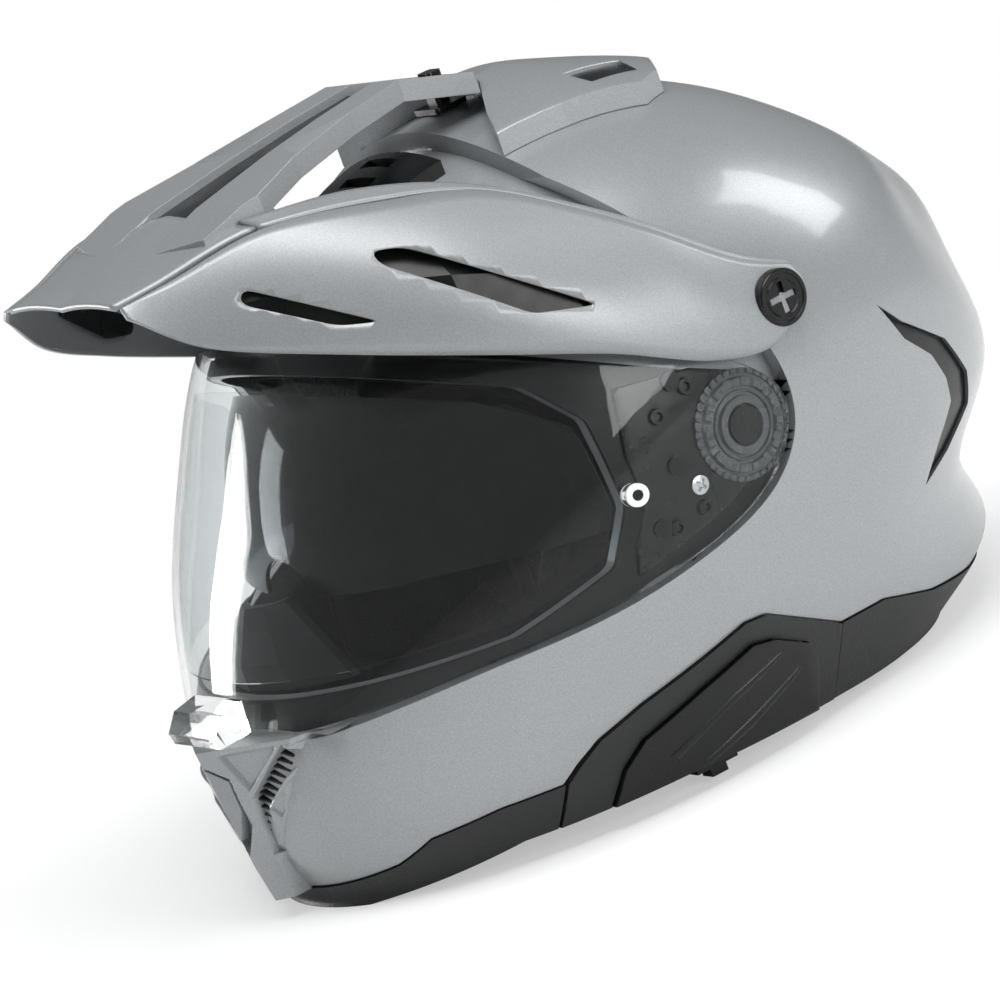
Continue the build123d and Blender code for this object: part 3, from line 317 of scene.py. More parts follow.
# %% [markdown]
# Screws, rings and anchors are plated steel: a smooth metal with fine handling scratches, which come
# out as small changes of roughness.

# %% Plated steel
steel = set_up("plated_steel", "#C4C6C8", 0.2, Metallic=1.0)
mottle(steel, 1.5 * mm, 0.14, 0.3, "Roughness")
grain(steel, 0.8 * mm, 0.008 * mm)

# The plate's own screws are blackened before they are fitted, so only the cross screw shines.
blackened_steel = set_up("blackened_steel", "#1A1B1C", 0.3, Metallic=0.8)
grain(blackened_steel, 0.8 * mm, 0.01 * mm)

finishes = {
    "gloss_paint": gloss_paint, "satin_paint": satin_paint, "black_plastic": black_plastic,
    "grey_plastic": grey_plastic, "white_plastic": white_plastic, "textured_trim": textured_trim,
    "black_rubber": black_rubber, "clear_visor": clear_visor, "inner_lens": inner_lens,
    "smoke_visor": smoke_visor, "black_fabric": black_fabric, "webbing": webbing, "foam": foam,
    "steel": steel,
}

# %% Hand the finishes to the solids
subparts = {part["node"]: part for part in frame["record"]["subparts"]}
for name, piece in nodes.items():
    piece.data.materials.clear()
    dark_screw = name.startswith("base_plate_screws")
    piece.data.materials.append(
        blackened_steel if dark_screw else finishes[subparts[name]["material_slot"]])

# %% [markdown]
# ## Softened edges
# No moulded or machined edge is a knife edge: it has a radius of some tenths of a millimetre that
# catches a thin line of light. The solids come as loose triangles, so their points are welded first
# and then a bevel rounds only the sharp edges. Both are modifiers, so the solids stay as they are.


# %% Bevels on the hard pieces
def soften(name, width, angle=35):
    """Welds the node's triangles and rounds its edges sharper than angle degrees by width metres."""
    weld = nodes[name].modifiers.new("weld", "WELD")
    weld.merge_threshold = 0.01 * mm
    bevel = nodes[name].modifiers.new("edges", "BEVEL")
    bevel.width = width
    bevel.segments = 2
    bevel.limit_method = "ANGLE"
    bevel.angle_limit = np.radians(angle)
    bevel.use_clamp_overlap = True


# %% [markdown]
# ## Curves and surfaces
# New pieces are surfaces worked out as arrays: a smooth curve through a few chosen points, and a grid
# of such curves, which becomes quads. One helper joins grids into a mesh, turns its faces outwards and
# marks the edges that are meant to stay sharp.


# %% Three helpers for new surfaces
def smooth_line(points, count):
    """Catmull-Rom curve: a cubic between each two rows, its slope half the run of their neighbours."""
    points = np.asarray(points, float)
    rows = np.concatenate([2 * points[:1] - points[1:2], points, 2 * points[-1:] - points[-2:-1]])
    place = np.linspace(0, len(points) - 1, count)
    step = np.minimum(place.astype(int), len(points) - 2)
    t = (place - step).reshape(-1, *[1] * (points.ndim - 1))
    a, b, c, d = (rows[step + k] for k in range(4))
    return 0.5 * (2 * b + (c - a) * t + (2 * a - 5 * b + 4 * c - d) * t ** 2
                  + (3 * b - a - 3 * c + d) * t ** 3)


def grid(points, wrap=False, start=0):
    """Points and quads of a grid of shape rows, columns, 3; wrap joins the last column to the first."""
    rows, columns = points.shape[:2]
    index = start + np.arange(rows * columns).reshape(rows, columns)
    if wrap:
        index = np.concatenate([index, index[:, :1]], axis=1)
    quads = np.stack([index[:-1, :-1], index[:-1, 1:], index[1:, 1:], index[1:, :-1]], axis=-1)
    return points.reshape(-1, 3), quads.reshape(-1, 4)


def make_piece(name, grids, body, slot, sharp=40, closed=True, extra_faces=()):
    """A piece from grids of (points, quads) in metres, on that body, with that slot's finish."""
    points = np.concatenate([part[0] for part in grids])
    offsets = np.cumsum([0, *[len(part[0]) for part in grids[:-1]]])
    quads = [(part[1] + offset).tolist() for part, offset in zip(grids, offsets)]
    mesh = bpy.data.meshes.new(name)
    mesh.from_pydata(points.tolist(), [], [face for part in quads for face in part] + list(extra_faces))
    work = bmesh.new()
    work.from_mesh(mesh)
    bmesh.ops.remove_doubles(work, verts=work.verts, dist=0.005 * mm)
    if closed:
        bmesh.ops.recalc_face_normals(work, faces=work.faces)
    work.to_mesh(mesh)
    work.free()
    mesh.shade_smooth()
    mesh.set_sharp_from_angle(angle=np.radians(sharp))
    piece = bpy.data.objects.new(name, mesh)
    bpy.context.scene.collection.objects.link(piece)
    mesh.materials.append(finishes[slot])
    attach(piece, body)
    return piece


def settled(piece):
    """The piece's mesh as its modifiers leave it, with the modifiers gone."""
    bpy.context.view_layer.update()
    graph = bpy.context.evaluated_depsgraph_get()
    mesh = bpy.data.meshes.new_from_object(piece.evaluated_get(graph), depsgraph=graph)
    piece.modifiers.clear()
    old = piece.data
    piece.data = mesh
    bpy.data.meshes.remove(old)
    return piece


# %% [markdown]
# ## The peak
# The real peak is one moulding: a front panel and two wings that sweep back over the side screws. A
# crease runs the whole way, flat above and rolling over below. The solid follows straight sections, so
# here smooth curves are run through the same stations, and the wall is given its thickness after. The
# slots are cut last, as the tool does in one go.

# %% Stations of the peak
front_reach, rear_reach, half_width, height = 164 * mm, 174 * mm, 124 * mm, 236 * mm
# Place along the helmet, then crease, middle of the side and lower edge across and up, as shares
edge_shares = np.array([
    (-0.994, 0.331, 0.972, 0.343, 0.966, 0.355, 0.958),
    (-0.890, 0.379, 0.981, 0.430, 0.932, 0.456, 0.881),
    (-0.683, 0.492, 1.004, 0.610, 0.915, 0.650, 0.810),
    (-0.439, 0.581, 0.975, 0.798, 0.864, 0.847, 0.737),
    (-0.226, 0.661, 0.930, 0.891, 0.808, 0.963, 0.676),
    (-0.024, 0.871, 0.818, 0.984, 0.720, 1.016, 0.606),
    (0.126, 0.968, 0.720, 1.024, 0.648, 1.032, 0.587),
    (0.236, 0.996, 0.678, 1.020, 0.661, 1.028, 0.644),
])
middle_heights = np.array([0.975, 0.994, 1.030])
inner_shares = np.array([(0.371, 1.017), (0.460, 0.996), (0.597, 0.941), (0.839, 0.831),
                         (0.952, 0.729), (0.980, 0.682)])


def along(shares):
    """Place along Y in metres of shares of front reach (minus) or rear reach (plus)."""
    return np.where(shares < 0, shares * front_reach, shares * rear_reach)


def spots(shares, places):
    """Points (x, y, z) of a table of pairs (share of half width, share of height) at places along Y."""
    return np.stack([shares[..., 0] * half_width, places, shares[..., 1] * height], axis=-1)


station_y = along(edge_shares[:, 0])
crease, side, lower = (spots(edge_shares[:, k:k + 2], station_y) for k in (1, 3, 5))
stations = smooth_line(np.stack([crease, side, lower], axis=1), 85)
front_rows = 25

# %% Outer surface of the peak
t = np.linspace(0, 1, 14)[None, :, None]
crease_line, side_line, lower_line = (stations[:, None, k] for k in range(3))
handle = 2 * side_line - 0.5 * (crease_line + lower_line)
rolled = (1 - t) ** 2 * crease_line + 2 * t * (1 - t) * handle + t ** 2 * lower_line
middle_points = np.stack([0 * middle_heights, station_y[:3], middle_heights * height], axis=-1)
middle_line = smooth_line(middle_points, front_rows)[:, None]
u = np.linspace(0, 1, 12)[None, :-1, None]
flat = (1 - u) * middle_line + u * crease_line[:front_rows]
flat[..., 2] += 1.6 * mm * (4 * u * (1 - u))[..., 0] * np.linspace(1, 0, front_rows)[:, None]
inner = spots(inner_shares, station_y[2:])
inner_line = smooth_line(inner, len(stations) - front_rows + 1)[:, None]
v = np.linspace(0, 1, 6)[None, :-1, None]
shelf = (1 - v) * inner_line + v * crease_line[front_rows - 1:]
one_side = [rolled, flat, shelf]
mirrored = [part * [-1, 1, 1] for part in one_side]
peak = make_piece("peak_moulding", [grid(part) for part in one_side + mirrored], "helmet",
                  "satin_paint", sharp=24, closed=False)
work = bmesh.new()
work.from_mesh(peak.data)
bmesh.ops.recalc_face_normals(work, faces=work.faces)
if sum(face.normal.z * face.calc_area() for face in work.faces) < 0:
    bmesh.ops.reverse_faces(work, faces=work.faces)
work.to_mesh(peak.data)
work.free()
wall = peak.modifiers.new("wall", "SOLIDIFY")
wall.thickness = 1.9 * mm
wall.offset = -1
wall.use_even_offset = True
settled(peak)


# %% Slots of the peak
def cutter(name, outline, reach=200 * mm):
    """A prism across the helmet over a smooth closed outline of (y, z) in metres."""
    ring = np.stack([np.zeros(len(outline)), outline[:, 0], outline[:, 1]], axis=-1)
    rows = np.stack([ring - [reach, 0, 0], ring + [reach, 0, 0]])
    count = len(outline)
    caps = [list(range(count))[::-1], list(range(count, 2 * count))]
    return make_piece(name, [grid(rows, wrap=True)], "helmet", "black_plastic", extra_faces=caps)


def rounded(corners, radius, steps=6):
    """Closed outline with each corner replaced by an arc-like curve that starts radius from it."""
    corners = np.asarray(corners, float)
    before, after = np.roll(corners, 1, axis=0), np.roll(corners, -1, axis=0)
    run_in, run_out = before - corners, after - corners
    run_in *= np.minimum(radius / np.linalg.norm(run_in, axis=1), 0.5)[:, None]
    run_out *= np.minimum(radius / np.linalg.norm(run_out, axis=1), 0.5)[:, None]
    s = np.linspace(0, 1, steps)[None, :, None]
    arcs = (1 - s) ** 2 * (corners + run_in)[:, None] + 2 * s * (1 - s) * corners[:, None]
    return (arcs + s ** 2 * (corners + run_out)[:, None]).reshape(-1, 2)


def side_outline(shares):
    """Places (y, z) in metres of a side outline's shares."""
    shares = np.array(shares)
    return np.stack([along(shares[:, 0]), shares[:, 1] * height], axis=-1)


upper_slot = [(-0.549, 0.928), (-0.488, 0.917), (-0.207, 0.746), (-0.299, 0.763), (-0.341, 0.771),
              (-0.549, 0.907)]
lower_slot = [(-0.787, 0.941), (-0.598, 0.835), (-0.671, 0.850), (-0.805, 0.922)]
for name, shares in (("upper_slot_tool", upper_slot), ("lower_slot_tool", lower_slot)):
    tool = cutter(name, rounded(side_outline(shares), 4 * mm))
    cut = peak.modifiers.new("slot", "BOOLEAN")
    cut.operation = "DIFFERENCE"
    cut.solver = "EXACT"
    cut.object = tool
    settled(peak)
    bpy.data.objects.remove(tool)
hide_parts("peak_shell")
print("peak", len(peak.data.polygons), "faces")

# %% [markdown]
# ## Padding
# The comfort padding is foam in a knitted cover, sewn in panels, so it bulges between its seams. Each
# pad starts as its solid's skin, remeshed into even quads, is blown up a little by a cloth simulation
# with inner pressure, and is capped so that it stays in its own space. The sewn channels come after,
# because the remesh would erase them.

# %% Pads blown up by cloth
scene = bpy.context.scene


cloth_frames = 20
pad_pressure = 4


def vertex_array(mesh, attribute="co"):
    """The coordinates of a mesh as an array, or with "normal" its vertex normals."""
    flat_values = np.empty(3 * len(mesh.vertices))
    mesh.vertices.foreach_get(attribute, flat_values)
    return flat_values.reshape(-1, 3)


def stuffed(node, name, inset, cap, channels=(), voxel=4.5 * mm):
    """Skin of a pad's solid, moved in by inset, blown up by at most cap, with channels pressed in."""
    mesh = nodes[node].data.copy()
    work = bmesh.new()
    work.from_mesh(mesh)
    bmesh.ops.remove_doubles(work, verts=work.verts, dist=0.01 * mm)
    work.to_mesh(mesh)
    work.free()
    piece = bpy.data.objects.new(name, mesh)
    scene.collection.objects.link(piece)
    remesh = piece.modifiers.new("even_grid", "REMESH")
    remesh.mode = "VOXEL"
    remesh.voxel_size = voxel
    settled(piece)
    start = vertex_array(piece.data) - inset * vertex_array(piece.data, "normal")
    piece.data.vertices.foreach_set("co", start.ravel())
    cloth = piece.modifiers.new("stuffing", "CLOTH")
    cloth.settings.use_pressure = True
    cloth.settings.uniform_pressure_force = pad_pressure
    cloth.settings.effector_weights.gravity = 0
    cloth.settings.quality = 4
    cloth.point_cache.frame_start = 1
    cloth.point_cache.frame_end = cloth_frames
    for step in range(1, cloth_frames + 1):
        scene.frame_set(step)
    graph = bpy.context.evaluated_depsgraph_get()
    blown = vertex_array(piece.evaluated_get(graph).data)
    piece.modifiers.clear()
    scene.frame_set(1)
    moved = blown - start
    size = np.maximum(np.linalg.norm(moved, axis=1, keepdims=True), 1e-9)
    start = start + moved * np.minimum(1, cap / size)
    piece.data.vertices.foreach_set("co", start.ravel())
    round_off = piece.modifiers.new("finer", "SUBSURF")
    round_off.levels = round_off.render_levels = 1
    settled(piece)
    points = vertex_array(piece.data)
    normals = vertex_array(piece.data, "normal")
    pressed = np.zeros(len(points))
    for axis, place, width, depth in channels:
        pressed = np.maximum(pressed, depth * np.exp(-((points[:, axis] - place) / width) ** 2))
    points = points - pressed[:, None] * normals
    piece.data.vertices.foreach_set("co", points.ravel())
    piece.data.update()
    piece.data.shade_smooth()
    piece.data.materials.clear()
    piece.data.materials.append(black_fabric)
    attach(piece, "helmet")
    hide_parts(node)
    print(name, len(piece.data.polygons), "quads", np.round(points.min(0), 4), np.round(points.max(0), 4))
    return piece


for side_name in ("left", "right"):
    low_corner, high_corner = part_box(f"cheek_pad_{side_name}")
    middle_y = 0.5 * (low_corner[1] + high_corner[1])
    stuffed(f"cheek_pad_{side_name}", f"cheek_cushion_{side_name}", 1.2 * mm, 3.0 * mm,
            [(1, middle_y, 2.2 * mm, 1.6 * mm), (2, low_corner[2] + 16 * mm, 2.2 * mm, 1.4 * mm)])
stuffed("crown_pad", "crown_cushion", 1.0 * mm, 1.5 * mm,
        [(0, -26 * mm, 2.2 * mm, 1.4 * mm), (0, 26 * mm, 2.2 * mm, 1.4 * mm)])
stuffed("neck_roll", "neck_cushion", 1.2 * mm, 2.5 * mm,
        [(0, -30 * mm, 2.4 * mm, 1.6 * mm), (0, 30 * mm, 2.4 * mm, 1.6 * mm)])

# %% [markdown]
# ## Chin curtain and straps
# The curtain is a single piece of mesh cloth that hangs a little between the rim and its free edge.
# A curve round the chin is carried inwards in rows, and each row sags lower in a shallow wave. The
# straps are flat webbing, too thin to simulate, so a flat rounded profile is carried along the line that
# each strap takes down from its anchor.

# %% Chin curtain
low_corner, high_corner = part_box("chin_curtain")
half = high_corner[0] - 1.0 * mm
front_y, rear_y, top_z = low_corner[1] + 1.0 * mm, high_corner[1], high_corner[2]
across_share = np.linspace(-1, 1, 61)
free_y = rear_y - 2 * mm - 6 * mm * (1 - across_share ** 2)
reach_share = np.linspace(0, 1, 21)[:, None]
rim_y = free_y - (free_y - front_y) * np.sqrt(np.maximum(1 - np.abs(across_share) ** 2.1, 0.0))
cloth_y = rim_y + (free_y - rim_y) * reach_share
cloth_x = half * across_share * (1 - 0.02 * reach_share)
sag = 2.2 * mm * np.sin(np.pi * reach_share * 0.8) * (1 - across_share ** 2)
ripple = 0.5 * mm * np.sin(9 * across_share) * reach_share
cloth_z = top_z - 0.6 * mm - sag * 0.4 + ripple * 0.5
curtain = make_piece("chin_curtain_cloth", [grid(np.stack([cloth_x, cloth_y, cloth_z], axis=-1))], "helmet",
                     "black_fabric", closed=False)
thick = curtain.modifiers.new("cloth_wall", "SOLIDIFY")
thick.thickness = 0.9 * mm
thick.offset = 0
settled(curtain)
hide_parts("chin_curtain")


# %% Straps of webbing
def carried(path, normal_turn, profile):
    """Grid of a closed profile (across, out) carried along a path in the x-z plane at every point."""
    run = np.gradient(path, axis=0)
    run /= np.linalg.norm(run, axis=1, keepdims=True)
    out = np.stack([run[:, 1], -run[:, 0]], axis=-1) * normal_turn
    x = path[:, 0][:, None] + out[:, 0][:, None] * profile[:, 1]
    z = path[:, 1][:, None] + out[:, 1][:, None] * profile[:, 1]
    y = np.broadcast_to(profile[:, 0], x.shape)
    return np.stack([x, y, z], axis=-1)


strap_y, strap_width, strap_wall = 31 * mm, 22 * mm, 2 * mm
turn_angle = np.linspace(0, 2 * np.pi, 28, endpoint=False)
profile = np.stack([
    strap_y + np.sign(np.cos(turn_angle)) * np.abs(np.cos(turn_angle)) ** 0.35 * strap_width / 2,
    np.sign(np.sin(turn_angle)) * np.abs(np.sin(turn_angle)) ** 0.6 * strap_wall / 2], axis=-1)
strap_shares = np.array([(0.822, 0.290), (0.822, 0.235), (0.822, 0.176), (0.770, 0.093), (0.689, 0.036),
                         (0.46, 0.031), (0.230, 0.030)])
strap_path = smooth_line(strap_shares * [90 * mm, 205 * mm], 90)
bend = np.linspace(0, 2 * np.pi, 65)
loop_path = np.stack([18.9 * mm + 2.8 * mm * np.sign(np.cos(bend)) * np.abs(np.cos(bend)) ** 0.6,
                      7.95 * mm + 4.6 * mm * np.sign(np.sin(bend)) * np.abs(np.sin(bend)) ** 0.6], axis=-1)
for sign, side_name in ((1, "left"), (-1, "right")):
    ribbon = carried(strap_path, 1, profile)
    ends = [list(range(28)), list(range(89 * 28, 90 * 28))]
    grids = [grid(ribbon * [sign, 1, 1], wrap=True)]
    if side_name == "left":
        grids.append(grid(carried(loop_path, 1, profile), wrap=True))
    strap = make_piece(f"webbing_strap_{side_name}", grids, "helmet", "webbing", sharp=60, extra_faces=ends)
    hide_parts(f"chin_strap_{side_name}")

# %% [markdown]
# ## Finding a surface
# A detail that sits on a curved wall has to know where the wall is. A Shrinkwrap modifier answers that
# for many points at once: it slides each point along X, or to the nearest spot, until it meets the wall.


# %% Points laid on a solid
def wrapped(points, node, **settings):
    """Where each of the points ends when a Shrinkwrap with those settings takes it to the node."""
    mesh = bpy.data.meshes.new("probe")
    mesh.from_pydata(points.tolist(), [], [])
    probe = bpy.data.objects.new("probe", mesh)
    scene.collection.objects.link(probe)
    wrap = probe.modifiers.new("wrap", "SHRINKWRAP")
    wrap.target = nodes[node]
    for key, value in settings.items():
        setattr(wrap, key, value)
    bpy.context.view_layer.update()
    graph = bpy.context.evaluated_depsgraph_get()
    found = vertex_array(probe.evaluated_get(graph).data)
    bpy.data.objects.remove(probe)
    return found


def wall_x(y, z, node, inside=False):
    """X on the left side at which each (y, z) meets the node, coming from outside or from inside."""
    start = 60 * mm if inside else 200 * mm
    points = np.stack([np.full(y.size, start), y.ravel(), z.ravel()], axis=-1)
    found = wrapped(points, node, wrap_method="PROJECT", use_project_x=True,
                    use_negative_direction=not inside, use_positive_direction=inside)[:, 0]
    missed = np.isclose(found, start)
    found[missed] = np.median(found[~missed])
    return found.reshape(y.shape)


# %% [markdown]
# ## Black rim of the eye port
# Round the eye port the sunk floor under the shield is covered by a wide black rubber lip, so nothing
# painted shows through the clear sheet. The floor's own triangles are picked out by their distance to
# the shield, lifted a quarter of a millimetre and given the rubber. A plane ends them under the peak.

# %% Lining of the pocket
shell_mesh = nodes["outer_shell"].data
shell_mesh.calc_loop_triangles()
corners = np.empty(3 * len(shell_mesh.loop_triangles), int)
shell_mesh.loop_triangles.foreach_get("vertices", corners)
triangles = vertex_array(shell_mesh)[corners.reshape(-1, 3)]
centres = triangles.mean(axis=1)
facing = np.cross(triangles[:, 1] - triangles[:, 0], triangles[:, 2] - triangles[:, 0])
facing /= np.maximum(np.linalg.norm(facing, axis=1, keepdims=True), 1e-12)
nearest = wrapped(centres, "visor_shield", wrap_method="NEAREST_SURFACEPOINT")
gap = np.linalg.norm(nearest - centres, axis=1)
outward = np.sum(facing * (nearest - centres), axis=1) / np.maximum(gap, 1e-9)
least_gap, most_gap, least_outward = 4.0 * mm, 11.0 * mm, 0.4
lining_lift = 0.25 * mm
floor_part = (gap > least_gap) & (gap < most_gap) & (outward > least_outward)
lifted = triangles[floor_part] + lining_lift * facing[floor_part][:, None]
count = len(lifted)
lining = make_piece("port_lining", [(lifted.reshape(-1, 3), np.arange(3 * count).reshape(-1, 3))],
                    "helmet", "black_rubber", closed=False, sharp=60)
lining_end = np.array([0, -70, 174.5]) * mm
lining_end_normal = (0, 0.473, 0.881)
work = bmesh.new()
work.from_mesh(lining.data)
bmesh.ops.bisect_plane(work, geom=[*work.verts, *work.edges, *work.faces], dist=0.001 * mm,
                       plane_co=lining_end, plane_no=lining_end_normal, clear_outer=True)
work.to_mesh(lining.data)
work.free()
print("pocket lining", len(lining.data.polygons), "faces")


# %% [markdown]
# ## Visor mechanism
# The visor turns on a ring with stepped blocks and teeth, moulded in glossy grey nylon, round a black
# hub with a plated oval button. A relief is the quickest way to draw such a part: a disc in rings and
# spokes whose height is a function of radius and angle, with steep steps where the real part has walls.


# %% Reliefs of rings and spokes
def relief(name, centre, radii, height_of, base_of, body, slot, spokes=144, depth=1.2 * mm):
    """A disc on each side, whose x is base_of(y, z) plus height_of(radius, angle), with a skirt of depth."""
    angle = np.linspace(0, 2 * np.pi, spokes, endpoint=False)[None, :]
    radius = np.asarray(radii, float)[:, None]
    y = centre[0] + radius * np.cos(angle)
    z = centre[1] + radius * np.sin(angle)
    x = base_of(y, z) + height_of(radius + 0 * angle, angle + 0 * radius)
    points = np.stack([x, y, z], axis=-1)
    skirt = points[-1:] - [depth, 0, 0]
    points = np.concatenate([points, skirt])
    made = []
    for sign, side_name in ((1, "left"), (-1, "right")):
        piece_body = body.replace("SIDE", side_name)
        made.append(make_piece(f"{name}_{side_name}", [grid(points * [sign, 1, 1], wrap=True)], piece_body,
                               slot, closed=True, sharp=35))
    return made


def step_up(value, start, end, soft=0.25 * mm):
    """1 between start and end and 0 outside, with a ramp of width soft at both."""
    return np.clip((value - start) / soft, 0, 1) * np.clip((end - value) / soft, 0, 1)


def sectors(angle, count, share, turn=0.0, soft=0.06):
    """1 over that share of each of count equal sectors, with soft edges."""
    place = ((angle * count / (2 * np.pi)) + turn) % 1
    return np.clip(place / soft, 0, 1) * np.clip((share - place) / soft, 0, 1)


pivot = np.array([3.0, 116.5]) * mm


def under_visor(y, z):
    """The inside of the shield less a small gap, which the mechanism stays below."""
    return wall_x(y, z, "visor_shield", inside=True) - 0.35 * mm


def gear_height(radius, angle):
    """Inner collar, a sunk track, a ring of stepped blocks and an outer row of teeth, below zero."""
    collar = step_up(radius, 7.0 * mm, 10.2 * mm)
    track = step_up(radius, 11.2 * mm, 12.2 * mm) * 0.5
    blocks = step_up(radius, 13.2 * mm, 16.6 * mm) * (0.35 + 0.6 * sectors(angle, 11, 0.72))
    blocks = blocks * np.where(sectors(angle, 22, 0.85, 0.3) > 0.5, 1.0, 0.7)
    teeth = step_up(radius, 17.4 * mm, 19.6 * mm) * (0.25 + 0.5 * sectors(angle, 36, 0.5))
    return -1.9 * mm + 1.8 * mm * np.clip(collar + track + blocks + teeth, 0, 1)


rings = np.linspace(6.7, 19.4, 52) * mm
for piece in relief("visor_cog", pivot, rings, gear_height, under_visor, "visor", "grey_plastic",
                    spokes=216, depth=0.3 * mm):
    side_name = piece.name.rsplit("_", 1)[1]
    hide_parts(f"visor_gear_{side_name}")


def hub_height(radius, angle):
    """Domed hub with a raised rim and an oval button across its middle."""
    y, z = radius * np.cos(angle), radius * np.sin(angle)
    oval = np.clip((1 - np.sqrt((y / 2.4) ** 2 + (z / 4.6) ** 2) / mm) / 0.2, 0, 1)
    rim = step_up(radius, 5.0 * mm, 6.4 * mm, 0.4 * mm)
    return -1.0 * mm + 0.8 * mm * rim + 0.7 * mm * oval


relief("hub_face", pivot, np.linspace(0.02, 6.4, 30) * mm, hub_height, under_visor, "helmet",
       "black_plastic", spokes=96)


def button_height(radius, angle):
    """Shallow dome."""
    return -0.25 * mm - 0.35 * mm * (radius / (2.4 * mm)) ** 2


relief("hub_button", pivot, np.linspace(0.02, 2.4, 10) * mm, button_height, under_visor, "helmet",
       "steel", spokes=48, depth=0.5 * mm)


# %% [markdown]
# The base plate under the shield carries bosses and one bright cross screw. Each is a small
# relief too, set on the plate's own surface.

# %% Bosses and the cross screw
def on_plate(y, z):
    """The base plate's outer surface."""
    return wall_x(y, z, "visor_base_plate_left")


def boss_height(radius, angle):
    """A collar with a sunk middle."""
    return 0.2 * mm + 1.3 * mm * step_up(radius, 1.3 * mm, 3.0 * mm, 0.3 * mm)


def cross_height(radius, angle):
    """A domed head with two crossed slots."""
    y, z = radius * np.cos(angle), radius * np.sin(angle)
    arm = np.minimum(np.abs(y + z), np.abs(y - z)) / np.sqrt(2)
    slot = np.clip((0.55 * mm - arm) / (0.2 * mm), 0, 1) * (radius < 2.3 * mm)
    return 1.7 * mm - 0.5 * mm * (radius / (3.3 * mm)) ** 2 - 0.9 * mm * slot


disc = np.linspace(0.02, 3.2, 17) * mm
for place, (y_mm, z_mm) in enumerate([(-26.5, 132.0), (-33.0, 94.0), (-13.0, 137.5), (-21.0, 96.5)]):
    relief(f"plate_boss_{place}", np.array([y_mm, z_mm]) * mm, disc, boss_height, on_plate, "helmet",
           "black_plastic", spokes=36)
relief("plate_cross_screw", np.array([-20.5, 104.5]) * mm, np.linspace(0.02, 3.3, 24) * mm, cross_height,
       on_plate, "helmet", "steel", spokes=72)

# %% Core of the lens pins, and the face of the peak's side screws
def box_centre(low, high):
    """Middle (y, z) of a node's box."""
    return np.array([0.5 * (low[1] + high[1]), 0.5 * (low[2] + high[2])])


pin_centre = box_centre(*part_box("pinlock_pins"))


def on_pin(y, z):
    """The pin's outer face."""
    return wall_x(y, z, "pinlock_pins")


def core_height(radius, angle):
    """A ring with a sunk middle, proud of the pin."""
    return 0.05 * mm + 0.25 * mm * step_up(radius, 0.9 * mm, 1.9 * mm, 0.2 * mm)


relief("lens_pin_core", pin_centre, np.linspace(0.02, 1.9, 14) * mm, core_height, on_pin, "visor",
       "black_plastic", spokes=36, depth=0.5 * mm)
screw_low, screw_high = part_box("peak_screw_left")
screw_centre = box_centre(screw_low, screw_high)
screw_face = screw_high[0]


def face_flat(y, z):
    """The screw head's flat."""
    return np.full(y.shape, screw_face)


def rim_height(radius, angle):
    """Two raised rings: a full outer one, and an inner one broken in four."""
    outer = step_up(radius, 8.2 * mm, 9.6 * mm, 0.3 * mm)
    arcs = step_up(radius, 5.9 * mm, 7.0 * mm, 0.3 * mm) * sectors(angle, 4, 0.78, 0.11)
    return -0.1 * mm + 0.6 * mm * np.clip(outer + arcs, 0, 1)


relief("screw_rings", screw_centre, np.linspace(5.7, 9.7, 30) * mm, rim_height, face_flat,
       "SIDE_peak_screw", "black_plastic", spokes=96, depth=0.2 * mm)

# %% [markdown]
# ## Chin vent
# The chin vent's mask is one painted moulding with sharp planes: a raised shield in the middle, a slanted
# slot with louvres on each side, an arm outside it and a ridge down to the rim. Its surface is the
# solid's own planes, and each feature raises or sinks it by the distance to the feature's outline.


# %% Distance to an outline
def outline_distance(x, z, corners):
    """Signed distance to a polygon: the least distance to its edges, negative outside."""
    corners = np.asarray(corners, float) * mm
    least = np.full(x.shape, np.inf)
    inside = np.zeros(x.shape, bool)
    for start, end in zip(corners, np.roll(corners, -1, axis=0)):
        run = end - start
        share = ((x - start[0]) * run[0] + (z - start[1]) * run[1]) / (run @ run)
        share = np.clip(share, 0, 1)
        least = np.minimum(least, np.hypot(x - start[0] - share * run[0], z - start[1] - share * run[1]))
        crosses = (start[1] > z) != (end[1] > z)
        reach = start[0] + (z - start[1]) / (run[1] if run[1] else 1e-12) * run[0]
        inside ^= crosses & (x < reach)
    return np.where(inside, least, -least)


def raised(x, z, corners, size, slope=0.6 * mm):
    """Height size inside an outline, reached over a slope of that width."""
    return size * np.clip(outline_distance(x, z, corners) / slope + 0.5, 0, 1)


# %% Mask of the chin vent
# Height, then half width and place of shoulder and back, and place of the ridge, in millimetres
chin_rows = np.array([
    (8.0, 6.2, -161.5, 9.3, -139.4, -166.0), (22.0, 9.9, -162.4, 14.3, -139.4, -168.9),
    (48.4, 26.0, -161.5, 39.7, -131.2, -172.5), (68.9, 36.0, -157.4, 53.9, -131.2, -175.0),
]) * mm
chin_z = np.linspace(8.0, 68.9, 171)[:, None] * mm
shoulder_x, shoulder_y, back_x, back_y, ridge_y = (
    np.interp(chin_z, chin_rows[:, 0], chin_rows[:, k]) for k in range(1, 6))
chin_x = np.linspace(-1, 1, 261)[None, :] * back_x
chin_z = chin_z + 0 * chin_x
side_x = np.abs(chin_x)
chin_y = np.where(side_x < shoulder_x, ridge_y + (shoulder_y - ridge_y) * side_x / shoulder_x,
                  shoulder_y + (back_y - shoulder_y) * (side_x - shoulder_x) / (back_x - shoulder_x))
slot_outline = [(32, 66.5), (13.5, 49), (9.5, 27), (13, 27), (17, 45), (36.5, 62.5)]
arm_outline = [(33, 66.8), (37.5, 62.5), (18, 44.5), (14, 27), (9, 27), (7, 12), (12, 10), (19, 31),
               (30, 42), (45, 58), (43, 66.8)]
vane_outline = [(34, 56.5), (30, 50), (21, 41), (19, 44.5), (22, 48.5)]
